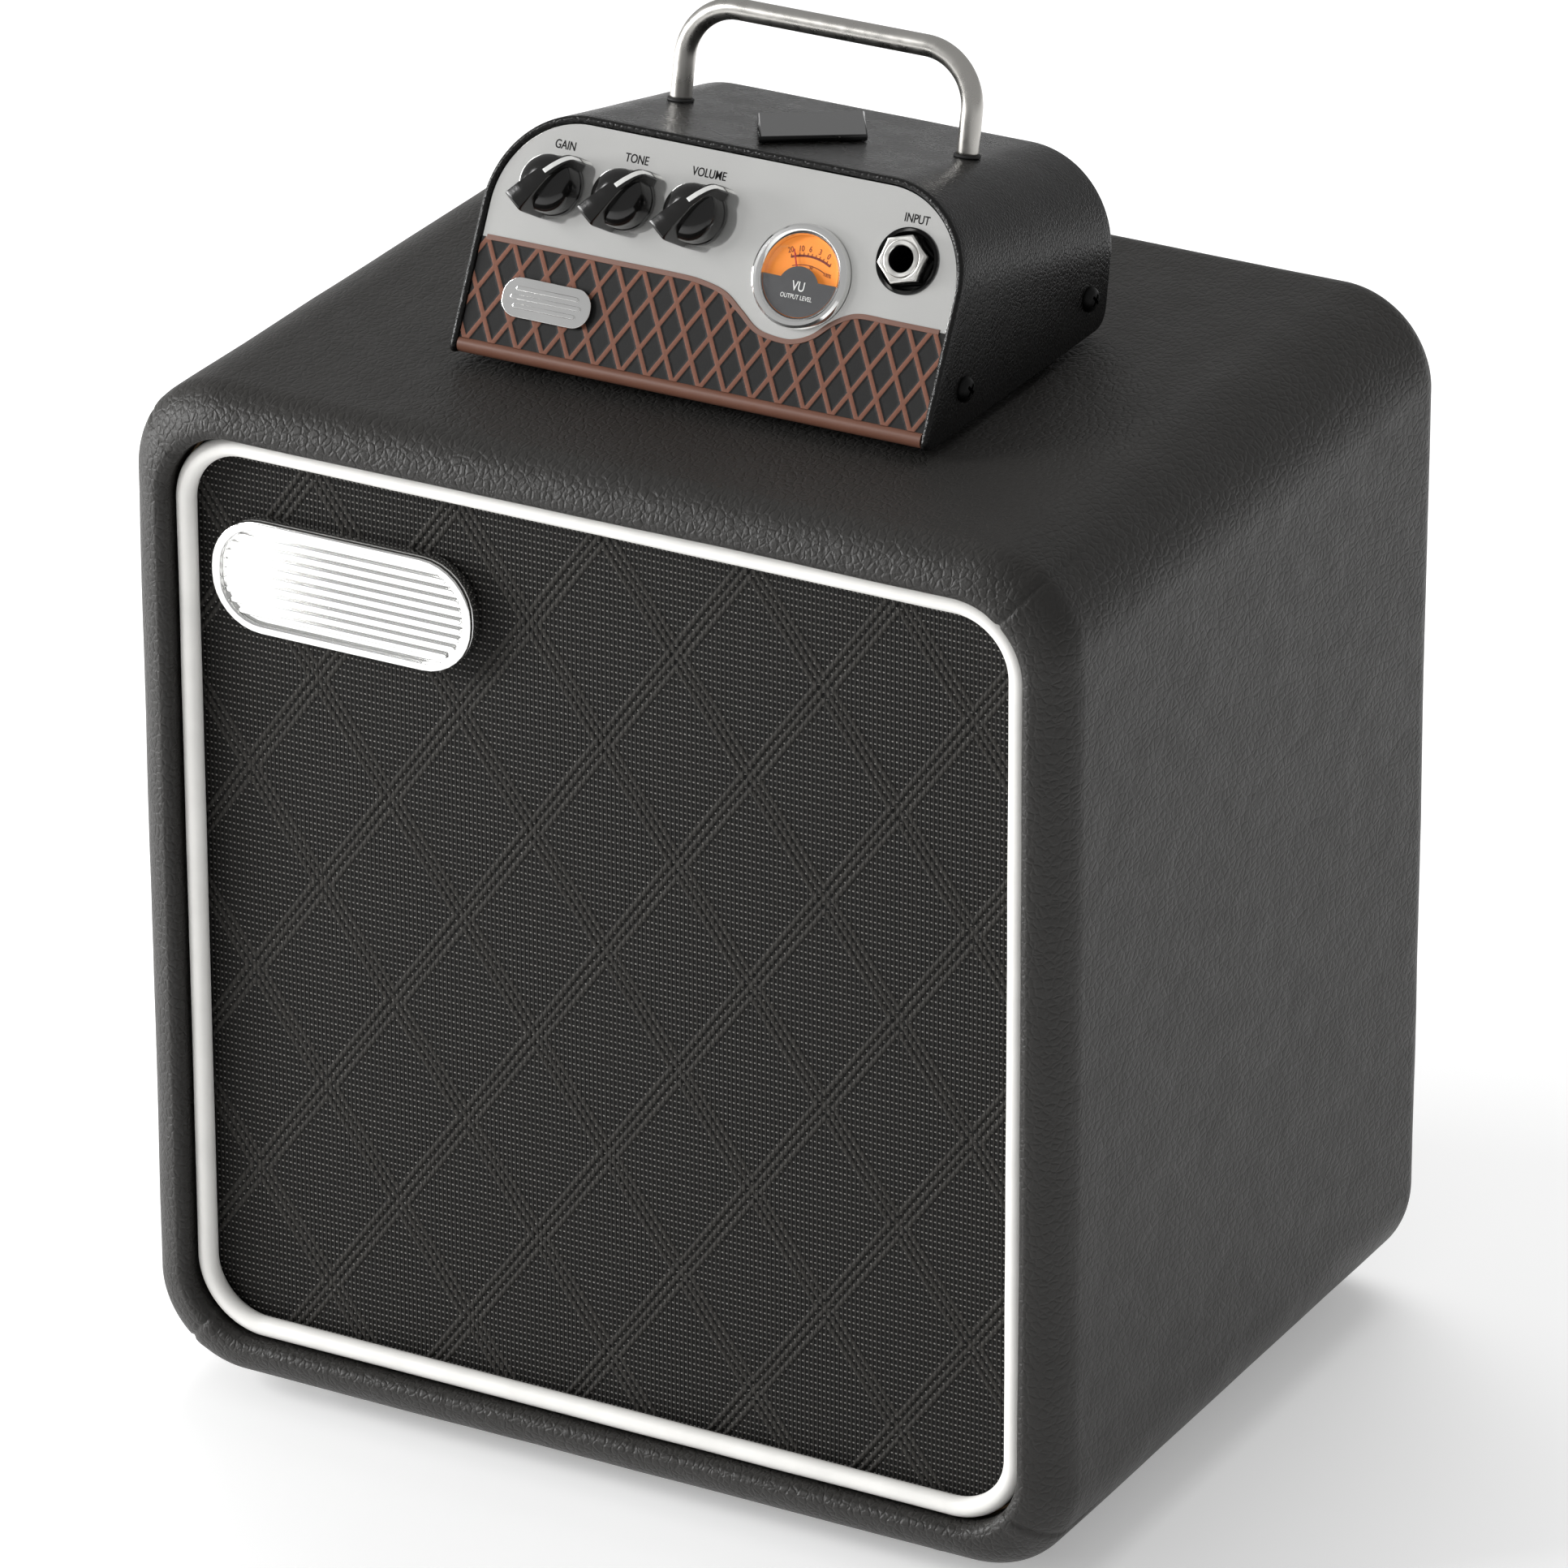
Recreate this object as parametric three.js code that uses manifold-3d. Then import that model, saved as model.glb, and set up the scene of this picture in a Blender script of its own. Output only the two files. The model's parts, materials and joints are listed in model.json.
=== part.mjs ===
// A small guitar amplifier: a lunch-box head with a carrying handle, standing on a
// matching one-speaker cabinet. Millimetres, +Z up, the fronts face -Y, and the origin
// is the middle of the cabinet's footprint on the floor.

import * as THREE from 'three';
import { mergeVertices } from 'three/addons/utils/BufferGeometryUtils.js';
import Module from 'manifold-3d';

const wasm = await Module();
wasm.setup();

// ---------------------------------------------------------------- driving dimensions

const GAP = 0.3; // clearance between pieces that touch
const ROUND = 24; // facets of a large round
const FINE = 12; // facets of a small round

// Cabinet
const CAB_W = 262;
const CAB_D = 208;
const CAB_H = 273;
const CAB_FOOT_H = 7;
const CAB_FOOT_R = 11;
const CAB_FOOT_X = 88;
const CAB_FOOT_Y = 75;
const CORNER_R = 25; // rounding of the long edges
const EDGE_R = 12; // rounding of the front and back edges, and the depth of the frame
const LIP_R = 2.5; // rounding where the frame turns into the opening
const OPENING_R = 19; // corner radius of the front and back openings
const SKIN_T = 1;
const BOARD_INSET = SKIN_T + GAP;
const BOARD_INNER = 10.7;
const PIPING_R = 2.5;
const PIPING_INSET = 15.1;
const PIPING_DEPTH = 6.7;
const PIPING_CORNER_R = 17;
const CLOTH_DEPTH = 9.5;
const CLOTH_T = 0.9;
const BAFFLE_T = 12;
const BACK_T = 9;
const BACK_RECESS = 4;
const LOWER_BACK_H = 88;
const UPPER_BACK_H = 72;
const BADGE_X = -71;
const BADGE_Z = 88;
const BADGE_W = 74;
const BADGE_H = 30;
const BADGE_T = 5;
const BAFFLE_HOLE_R = 89;
const SOCKET_RECESS_R = 16; // round hole in the lower back panel
const JACK_PLATE_W = 52;
const JACK_PLATE_T = 1.5;
const SOCKET_DEPTH = 28;

// Speaker, measured from the back of the baffle
const SPEAKER_R = 102;
const CONE_R = 78;
const NECK_R = 13.9;
const NECK_DEPTH = 31;
const COIL_R = 13.6;
const MAGNET_R = 42;
const MAGNET_DEPTH = 46.3;
const MAGNET_T = 13.7;
const YOKE_T = 6;
const TERMINAL_DEPTH = 42.4;
const TERMINAL_DROP = 54; // below the speaker's middle
const LEAD_R = 1.6;

// Head; its own frame has y from the front lip and z from the cabinet's top
const HEAD_X = 3.4;
const HEAD_W = 133;
const LIP_Y = 46; // behind the cabinet's front
const LIP_Z = 6.6;
const HEAD_BOTTOM = 2.8;
const FRONT_TOP = [27.8, 59.6];
const REAR_TOP = [100.5, 44.1];
const REAR_BOTTOM_Y = 93.3;
const BEND_R = 24.5;
const SHELL_T = 1.8;
const PANEL_T = 1.5;
const PANEL_RECESS = 1;
const PANEL_LEAN = Math.atan2(FRONT_TOP[0], FRONT_TOP[1] - LIP_Z);
const TOP_SLOPE = Math.atan2(FRONT_TOP[1] - REAR_TOP[1], REAR_TOP[0] - FRONT_TOP[0]);
const REAR_LEAN = Math.atan2(REAR_TOP[0] - REAR_BOTTOM_Y, REAR_TOP[1] - HEAD_BOTTOM);
const HEAD_FLOOR = 3.4;
const SCREW_Z = 12.6;
const SCREW_Y = { front: 18.6, back: 84 };

// Front panel; x from the head's middle, s up the panel from the lip
const KNOBS = { gain: -47.5, tone: -27.4, volume: -7.2 };
const KNOB_S = 41.7;
const KNOB_R = 7.3;
const KNOB_H = 11.7;
const KNOB_TURN = 36; // degrees clockwise of straight up
const SHAFT_R = 3;
const METER = [23.8, 32];
const METER_R = 13;
const METER_CAN_R = 11.4;
const NEEDLE_PIVOT = -2.5;
const NEEDLE_L = 9.5;
const NEEDLE_TILT = 22; // degrees left of straight up at rest
const JACK = [50.4, 40.8];
const CUP_R = 8;
const JACK_BORE_R = 3.4;

// Top of the head
const HANDLE_R = 2.75;
const HANDLE_HALF = 40.2;
const HANDLE_RISE = 25.3;
const HANDLE_BEND = 14;
const HANDLE_BACK = 40.6; // along the top from its front edge
const TOP_X = 1;
const PLATE_HALF_X = 15.5;
const PLATE_HALF_Y = 27.4;
const PLATE_BACK = 34.8;
const PLATE_BEVEL = 0.8;

// Rear panel; across it as seen from behind, then up it
const REAR_ITEMS = {
  power_switch: [44, 21],
  attenuator_switch: [18, 21],
  speaker_out_jack: [-10, 21],
  dc_inlet: [-40, 21],
};
const ROCKER_TILT = 8; // degrees, rocked to off
const SLIDER_SHIFT = 3;

const CAB_TOP = CAB_FOOT_H + CAB_H;
const CAB_MID = CAB_FOOT_H + CAB_H / 2;
const FRONT = -CAB_D / 2;
const BACK = CAB_D / 2;
const BAFFLE_DEPTH = CLOTH_DEPTH + CLOTH_T + GAP;
const SPEAKER_PLANE = FRONT + BAFFLE_DEPTH + BAFFLE_T + GAP;

// ---------------------------------------------------------------- materials

function material(color, roughness, metalness) {
  return new THREE.MeshStandardMaterial({ color, roughness, metalness });
}

const vinyl = material(0x35332f, 0.6, 0);
const plywood = material(0x9a7a50, 0.8, 0);
const cloth = material(0x141414, 0.9, 0);
const whitePlastic = material(0xeceae4, 0.45, 0);
const blackPlastic = material(0x121212, 0.3, 0);
const rubber = material(0x1a1a1a, 0.85, 0);
const paper = material(0x25231f, 0.9, 0);
const ferrite = material(0x2b2b2d, 0.8, 0.1);
const steel = material(0x9a9a98, 0.4, 1);
const zinc = material(0x77797a, 0.45, 1);
const copper = material(0xa9643a, 0.4, 1);
const silverPanel = material(0xc9c9c6, 0.35, 0.6);
const chrome = material(0xd8d8d6, 0.15, 1);
const boardGreen = material(0x1f4a2c, 0.6, 0);
const dialAmber = material(0xe8903c, 0.6, 0);
const needleRed = material(0xb02a1c, 0.5, 0);
const clear = material(0xffffff, 0.05, 0);
clear.opacity = 0.35;
clear.transparent = true;

// ---------------------------------------------------------------- solids

function solidOf(geometry) {
  const bare = geometry.clone();
  bare.deleteAttribute('normal');
  bare.deleteAttribute('uv');
  const merged = mergeVertices(bare, 1e-4);
  const mesh = new wasm.Mesh({
    numProp: 3,
    vertProperties: new Float32Array(merged.attributes.position.array),
    triVerts: new Uint32Array(merged.index.array),
  });
  return new wasm.Manifold(mesh);
}

function geometryOf(solid) {
  const mesh = solid.getMesh();
  const geometry = new THREE.BufferGeometry();
  geometry.setAttribute('position', new THREE.BufferAttribute(mesh.vertProperties, 3));
  geometry.setIndex(new THREE.BufferAttribute(mesh.triVerts, 1));
  geometry.computeVertexNormals();
  return geometry;
}

function cut(geometry, ...tools) {
  return geometryOf(tools.reduce((rest, tool) => rest.subtract(solidOf(tool)), solidOf(geometry)));
}

function join(geometry, ...others) {
  return geometryOf(others.reduce((all, other) => all.add(solidOf(other)), solidOf(geometry)));
}

function common(geometry, other) {
  return geometryOf(solidOf(geometry).intersect(solidOf(other)));
}

function add(group, name, geometry, surface) {
  const mesh = new THREE.Mesh(geometry, surface);
  mesh.name = name;
  group.add(mesh);
  return mesh;
}

// A block given by its lowest and highest corners.
function block(low, high) {
  const size = high.map((value, axis) => value - low[axis]);
  const middle = high.map((value, axis) => (value + low[axis]) / 2);
  return new THREE.BoxGeometry(...size).translate(...middle);
}

// A body turned about Z from [radius, height] points that run anticlockwise, with the
// radius to the right; an outline that stays off the axis is closed here.
function turned(outline, facets = ROUND) {
  const points = outline.map(([r, z]) => new THREE.Vector2(r, z));
  if (outline[0][0] > 0) points.push(points[0].clone());
  return new THREE.LatheGeometry(points, facets).rotateX(Math.PI / 2);
}

// A plain round bar along Z between two heights.
function bar(radius, low, high, facets = FINE) {
  const outline = [[0, low], [radius, low], [radius, high], [0, high]];
  return turned(outline, facets);
}

// A ring along Z.
function ring(inner, outer, low, high, facets = ROUND) {
  const outline = [[inner, low], [outer, low], [outer, high], [inner, high]];
  return turned(outline, facets);
}

// Turns a body made along +Z so that it runs along +Y, towards the back.
function alongDepth(geometry) {
  return geometry.rotateX(-Math.PI / 2);
}

// A rectangle with its own radius at each corner: top left, top right, bottom right, bottom left.
function roundedShape(width, height, radii) {
  const [x, y] = [width / 2, height / 2];
  const [topLeft, topRight, bottomRight, bottomLeft] = radii;
  const shape = new THREE.Shape();
  const quarter = Math.PI / 2;
  const corners = [
    [x, y, -1, -1, topRight, 0],
    [-x, y, 1, -1, topLeft, quarter],
    [-x, -y, 1, 1, bottomLeft, 2 * quarter],
    [x, -y, -1, 1, bottomRight, 3 * quarter],
  ];
  shape.moveTo(x, 0);
  for (const [cornerX, cornerY, inX, inY, radius, start] of corners) {
    if (radius === 0) {
      shape.lineTo(cornerX, cornerY);
      continue;
    }
    const middle = [cornerX + inX * radius, cornerY + inY * radius];
    shape.lineTo(middle[0] + radius * Math.cos(start), middle[1] + radius * Math.sin(start));
    shape.absarc(...middle, radius, start, start + quarter);
  }
  return shape;
}

// An upright plate in X and Z, its front at yFront and its body behind it.
function slab(shape, yFront, thickness, middleX, middleZ, curveSegments = 6) {
  const geometry = new THREE.ExtrudeGeometry(shape, { depth: thickness, bevelEnabled: false, curveSegments });
  return geometry.rotateX(Math.PI / 2).translate(middleX, yFront + thickness, middleZ);
}

// A closed section of [inset, depth] points, carried round the cabinet's outline.
function cabinetRing(section, cornerRadius, cornerFacets = 4) {
  const stations = 4 * (cornerFacets + 1);
  const positions = [];
  for (const [inset, depth] of section) {
    const radius = cornerRadius(inset);
    const halfX = CAB_W / 2 - inset - radius;
    const halfZ = CAB_H / 2 - inset - radius;
    for (let station = 0; station < stations; station += 1) {
      const corner = Math.floor(station / (cornerFacets + 1));
      const step = station % (cornerFacets + 1);
      const angle = (Math.PI / 2) * (corner + step / cornerFacets);
      const signX = corner === 0 || corner === 3 ? 1 : -1;
      const signZ = corner < 2 ? 1 : -1;
      const x = signX * halfX + radius * Math.cos(angle);
      const z = signZ * halfZ + radius * Math.sin(angle);
      positions.push(x, FRONT + depth, CAB_MID + z);
    }
  }
  const indices = [];
  for (let row = 0; row < section.length; row += 1) {
    const next = (row + 1) % section.length;
    for (let station = 0; station < stations; station += 1) {
      const after = (station + 1) % stations;
      const [a, b] = [row * stations + station, row * stations + after];
      const [c, d] = [next * stations + station, next * stations + after];
      indices.push(a, c, b, b, c, d);
    }
  }
  const geometry = new THREE.BufferGeometry();
  geometry.setAttribute('position', new THREE.Float32BufferAttribute(positions, 3));
  geometry.setIndex(indices);
  geometry.computeVertexNormals();
  return geometry;
}

// The outline of a round socket: a body behind the panel and a bushing that comes through it.
function socketOutline(bodyR, bodyDepth, bushingR, bushingEnd, shoulder) {
  return [
    [0, -bodyDepth], [bodyR, -bodyDepth], [bodyR, shoulder], [bushingR, shoulder],
    [bushingR, bushingEnd], [JACK_BORE_R, bushingEnd], [JACK_BORE_R, 1.5 - bodyDepth], [0, 1.5 - bodyDepth],
  ];
}

function arc(middle, radius, from, to, steps) {
  const points = [];
  for (let step = 0; step <= steps; step += 1) {
    const angle = THREE.MathUtils.degToRad(from + ((to - from) * step) / steps);
    points.push([middle[0] + radius * Math.cos(angle), middle[1] + radius * Math.sin(angle)]);
  }
  return points;
}

const frameRadius = (inset) => CORNER_R - ((CORNER_R - OPENING_R) * inset) / EDGE_R;

// ---------------------------------------------------------------- cabinet

const amplifier = new THREE.Group();
const cabinet = new THREE.Group();
amplifier.add(cabinet);

// Half of the covering's section, from the seat inside the opening round to the flank.
function frontTurn(offset, seatDepth) {
  const lipMiddle = [EDGE_R - LIP_R, LIP_R + 0.26];
  const edgeEnd = 259;
  return [
    [EDGE_R - offset, seatDepth],
    ...arc(lipMiddle, LIP_R - offset, 0, -80, 2),
    ...arc([EDGE_R, EDGE_R], EDGE_R - offset, edgeEnd, 180, 5),
  ];
}

function mirrored(points) {
  return points.map(([inset, depth]) => [inset, CAB_D - depth]).reverse();
}

function makeCovering() {
  const frontSeat = BAFFLE_DEPTH - 2 * GAP;
  const backSeat = BACK_RECESS + BACK_T + 2;
  const outside = [...frontTurn(0, frontSeat), ...mirrored(frontTurn(0, backSeat))];
  const inside = [...frontTurn(SKIN_T, frontSeat), ...mirrored(frontTurn(SKIN_T, backSeat))];
  const section = [...outside, ...inside.reverse()];
  add(cabinet, 'vinyl_covering', cabinetRing(section, frameRadius), vinyl);
}

function makeBoards() {
  const turn = [
    [BOARD_INNER, 3.6],
    ...arc([EDGE_R, EDGE_R], EDGE_R - BOARD_INSET, 252, 180, 4),
  ];
  const inner = [[BOARD_INNER, CAB_D / 2]];
  const frame = cabinetRing([...turn, ...mirrored(turn), ...inner], frameRadius);
  const joint = CAB_H / 2 - BOARD_INNER;
  const [wide, deep] = [CAB_W, CAB_D];
  const pieces = {
    top_board: block([-wide, -deep, CAB_MID + joint], [wide, deep, CAB_TOP + 1]),
    bottom_board: block([-wide, -deep, 0], [wide, deep, CAB_MID - joint]),
    left_board: block([-wide, -deep, CAB_MID - joint + GAP], [0, deep, CAB_MID + joint - GAP]),
    right_board: block([0, -deep, CAB_MID - joint + GAP], [wide, deep, CAB_MID + joint - GAP]),
  };
  for (const [name, region] of Object.entries(pieces)) add(cabinet, name, common(frame, region), plywood);
}

function makeFront() {
  const clothInset = EDGE_R + GAP;
  const clothRadii = Array(4).fill(OPENING_R);
  const clothShape = roundedShape(CAB_W - 2 * clothInset, CAB_H - 2 * clothInset, clothRadii);
  add(cabinet, 'grille_cloth', slab(clothShape, FRONT + CLOTH_DEPTH, CLOTH_T, 0, CAB_MID), cloth);

  const baffleInset = BOARD_INNER + GAP;
  const baffleShape = roundedShape(CAB_W - 2 * baffleInset, CAB_H - 2 * baffleInset, Array(4).fill(20.5));
  const baffle = slab(baffleShape, FRONT + BAFFLE_DEPTH, BAFFLE_T, 0, CAB_MID);
  const hole = alongDepth(bar(BAFFLE_HOLE_R, -30, 30, ROUND)).translate(0, FRONT + BAFFLE_DEPTH, CAB_MID);
  add(cabinet, 'baffle_board', cut(baffle, hole), plywood);

  const tube = arc([PIPING_INSET, PIPING_DEPTH], PIPING_R, 360, 45, 7);
  const pipingRadius = (inset) => PIPING_CORNER_R + PIPING_INSET - inset;
  add(cabinet, 'grille_piping', cabinetRing(tube, pipingRadius), whitePlastic);

  const badgeShape = roundedShape(BADGE_W, BADGE_H, Array(4).fill(BADGE_H / 2 - 1));
  const badgeFront = FRONT + CLOTH_DEPTH - GAP - BADGE_T;
  add(cabinet, 'cabinet_badge', slab(badgeShape, badgeFront, BADGE_T, BADGE_X, CAB_MID + BADGE_Z), chrome);
}

function makeBack() {
  const width = CAB_W - 2 * (EDGE_R + GAP);
  const [low, high] = [CAB_FOOT_H + EDGE_R + GAP, CAB_TOP - EDGE_R - GAP];
  const front = BACK - BACK_RECESS - BACK_T;
  const upperShape = roundedShape(width, UPPER_BACK_H, [OPENING_R, OPENING_R, 0, 0]);
  const lowerShape = roundedShape(width, LOWER_BACK_H, [0, 0, OPENING_R, OPENING_R]);
  add(cabinet, 'upper_back_panel', slab(upperShape, front, BACK_T, 0, high - UPPER_BACK_H / 2), vinyl);
  const lower = slab(lowerShape, front, BACK_T, 0, low + LOWER_BACK_H / 2);
  const socketZ = low + LOWER_BACK_H / 2;
  const hole = alongDepth(bar(SOCKET_RECESS_R, -30, 30)).translate(0, BACK, socketZ);
  add(cabinet, 'lower_back_panel', cut(lower, hole), vinyl);

  const plateFront = BACK - BACK_RECESS + GAP;
  const plateShape = roundedShape(JACK_PLATE_W, JACK_PLATE_W, Array(4).fill(5));
  const plate = slab(plateShape, plateFront, JACK_PLATE_T, 0, socketZ, 3);
  const throat = alongDepth(bar(5, -20, 20)).translate(0, BACK, socketZ);
  add(cabinet, 'jack_plate', cut(plate, throat), zinc);

  const jack = alongDepth(turned(socketOutline(9, SOCKET_DEPTH, 4.7, 3, -GAP), FINE));
  add(cabinet, 'cabinet_jack', jack.translate(0, plateFront, socketZ), blackPlastic);
  return { y: plateFront - SOCKET_DEPTH, z: socketZ };
}

function makeFeet() {
  const outline = [[0, 0], [CAB_FOOT_R - 1.5, 0], [CAB_FOOT_R, 2], [CAB_FOOT_R - 0.5, CAB_FOOT_H - GAP]];
  outline.push([0, CAB_FOOT_H - GAP]);
  for (const [side, x] of [['left', -1], ['right', 1]]) {
    for (const [end, y] of [['front', -1], ['back', 1]]) {
      const foot = add(cabinet, `cabinet_foot_${end}_${side}`, turned(outline, FINE), rubber);
      foot.position.set(x * CAB_FOOT_X, y * CAB_FOOT_Y, 0);
    }
  }
}

// ---------------------------------------------------------------- speaker

function makeSpeaker() {
  const speaker = new THREE.Group();
  speaker.position.set(0, SPEAKER_PLANE, CAB_MID);
  speaker.rotation.x = -Math.PI / 2; // its own +Z runs backwards
  cabinet.add(speaker);

  const shell = turned([
    [SPEAKER_R, 0], [SPEAKER_R, 1.6], [88.4, 1.6], [87.4, 12.6], [51.5, 39.6], [46, 39.6], [46, 46],
    [14.6, 46], [14.6, 41], [44.4, 41], [44.4, 38.2], [50.8, 38.2], [85.8, 12], [86.6, 0],
  ]);
  const windows = [];
  for (let leg = 0; leg < 6; leg += 1) {
    const start = THREE.MathUtils.degToRad(60 * leg + 12);
    const end = start + THREE.MathUtils.degToRad(36);
    const sector = new THREE.Shape();
    sector.absarc(0, 0, 82, start, end);
    sector.absarc(0, 0, 56, end, start, true);
    const cutter = new THREE.ExtrudeGeometry(sector, { depth: 40, bevelEnabled: false, curveSegments: 4 });
    windows.push(cutter.translate(0, 0, 4));
  }
  add(speaker, 'speaker_basket', cut(shell, ...windows), steel);

  const magnetEnd = MAGNET_DEPTH + MAGNET_T;
  add(speaker, 'speaker_magnet', ring(22, MAGNET_R, MAGNET_DEPTH, magnetEnd), ferrite);
  const yoke = [[0, 42], [12.5, 42], [12.5, magnetEnd + GAP], [MAGNET_R - 2, magnetEnd + GAP]];
  yoke.push([MAGNET_R - 2, magnetEnd + YOKE_T], [0, magnetEnd + YOKE_T]);
  add(speaker, 'speaker_yoke', turned(yoke), steel);

  const roll = [83.3, -1];
  const surround = [
    [88.6, -1], [88.6, -0.3], ...arc(roll, 3.5, 0, -180, 4), [78.4, -0.3], [78.4, -1],
    ...arc(roll, 4.2, -180, 0, 4),
  ];
  add(speaker, 'speaker_surround', turned(surround), rubber);

  const cone = [[NECK_R, NECK_DEPTH], [CONE_R, -0.9], [CONE_R, 0], [NECK_R, NECK_DEPTH + 0.9]];
  add(speaker, 'speaker_cone', turned(cone), paper);
  const capFront = [[0, 19.4], [7, 20.2], [13.5, 22.8], [20, 27.4]];
  const capBack = [[19.2, 27.5], [13, 23.7], [6.8, 21.1], [0, 20.3]];
  add(speaker, 'speaker_dust_cap', turned([...capFront, ...capBack], 20), paper);
  add(speaker, 'speaker_voice_coil', ring(COIL_R - 0.6, COIL_R, 29, 47, 20), copper);

  const waves = [[14.1, 37.1], [20, 36.1], [26, 37.1], [32, 36.1], [38, 37.1], [44, 36.4], [50.3, 37.2]];
  const back = waves.map(([r, z]) => [r, z + 0.7]).reverse();
  add(speaker, 'speaker_spider', turned([...waves, ...back], 24), cloth);
  add(speaker, 'speaker_terminals', block([-9, 46.4, 39.9], [9, 60, TERMINAL_DEPTH]), blackPlastic);
}

// The pair of wires from the socket to the speaker's terminals, held at both ends.
function makeLead(socket) {
  const terminal = { y: SPEAKER_PLANE + TERMINAL_DEPTH + GAP, z: CAB_MID - TERMINAL_DROP };
  const route = new THREE.CatmullRomCurve3([
    new THREE.Vector3(0, terminal.y, terminal.z),
    new THREE.Vector3(0, terminal.y + 5, terminal.z),
    new THREE.Vector3(6, terminal.y + 28, terminal.z - 22),
    new THREE.Vector3(12, 12, 44),
    new THREE.Vector3(7, 42, 40),
    new THREE.Vector3(0, socket.y - 10, socket.z),
    new THREE.Vector3(0, socket.y - 5, socket.z),
    new THREE.Vector3(0, socket.y - GAP, socket.z),
  ]);
  const section = new THREE.Shape().absarc(0, 0, LEAD_R, 0, 2 * Math.PI);
  const settings = { steps: 24, extrudePath: route, curveSegments: 4 };
  add(cabinet, 'speaker_lead', new THREE.ExtrudeGeometry(section, settings), rubber);
}

// ---------------------------------------------------------------- head

const head = new THREE.Group();
head.position.set(HEAD_X, FRONT + LIP_Y, CAB_TOP);
amplifier.add(head);

// Frames of the two panels: across, up the panel, and out of it.
const panelFrame = new THREE.Matrix4().makeRotationX(Math.PI / 2 - PANEL_LEAN).setPosition(0, 0, LIP_Z);
const rearFrame = new THREE.Matrix4().makeRotationX(-Math.PI / 2 - REAR_LEAN)
  .multiply(new THREE.Matrix4().makeRotationZ(Math.PI)).setPosition(0, REAR_BOTTOM_Y, HEAD_BOTTOM);

function onPanel(geometry, x, s) {
  return geometry.translate(x, s, 0).applyMatrix4(panelFrame);
}

function onRear(geometry, x, t) {
  return geometry.translate(x, t, 0).applyMatrix4(rearFrame);
}

// [y, z] of a place s up the front panel and p out from it.
function panelPoint(s, p) {
  const [sin, cos] = [Math.sin(PANEL_LEAN), Math.cos(PANEL_LEAN)];
  return [s * sin - p * cos, LIP_Z + s * cos + p * sin];
}

// [y, z] of a place t up the rear panel and p out from it.
function rearPoint(t, p) {
  const [sin, cos] = [Math.sin(REAR_LEAN), Math.cos(REAR_LEAN)];
  return [REAR_BOTTOM_Y + t * sin + p * cos, HEAD_BOTTOM + t * cos - p * sin];
}

// A side outline of [y, z, rounding] points, carried across the head's width.
function acrossHead(outline, halfWidth = HEAD_W) {
  const shape = new THREE.Shape();
  outline.forEach(([y, z, rounding = 0], index) => {
    const here = new THREE.Vector2(y, z);
    const before = outline.at(index - 1);
    const after = outline[(index + 1) % outline.length];
    const entry = new THREE.Vector2(before[0], before[1]).sub(here).setLength(rounding).add(here);
    const exit = new THREE.Vector2(after[0], after[1]).sub(here).setLength(rounding).add(here);
    if (index === 0) shape.moveTo(entry.x, entry.y);
    else shape.lineTo(entry.x, entry.y);
    if (rounding > 0) shape.quadraticCurveTo(here.x, here.y, exit.x, exit.y);
  });
  const settings = { depth: 2 * halfWidth, bevelEnabled: false, curveSegments: 4 };
  const geometry = new THREE.ExtrudeGeometry(shape, settings).translate(0, 0, -halfWidth);
  const [x, y, z] = [new THREE.Vector3(1, 0, 0), new THREE.Vector3(0, 1, 0), new THREE.Vector3(0, 0, 1)];
  return geometry.applyMatrix4(new THREE.Matrix4().makeBasis(y, z, x));
}

// The arch of the casing, drawn in by an inset and run along the sloping top.
function arch(inset) {
  const halfWidth = HEAD_W / 2 - inset;
  const radius = BEND_R - inset;
  const shape = new THREE.Shape();
  shape.moveTo(-halfWidth, -3 * BEND_R);
  shape.lineTo(halfWidth, -3 * BEND_R);
  shape.absarc(halfWidth - radius, -inset - radius, radius, 0, Math.PI / 2);
  shape.absarc(radius - halfWidth, -inset - radius, radius, Math.PI / 2, Math.PI);
  const length = 3 * REAR_TOP[0];
  const geometry = new THREE.ExtrudeGeometry(shape, { depth: length, bevelEnabled: false, curveSegments: 6 });
  geometry.translate(0, 0, -length / 2).rotateX(Math.PI / 2 - TOP_SLOPE);
  return geometry.translate(0, ...FRONT_TOP);
}

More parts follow.
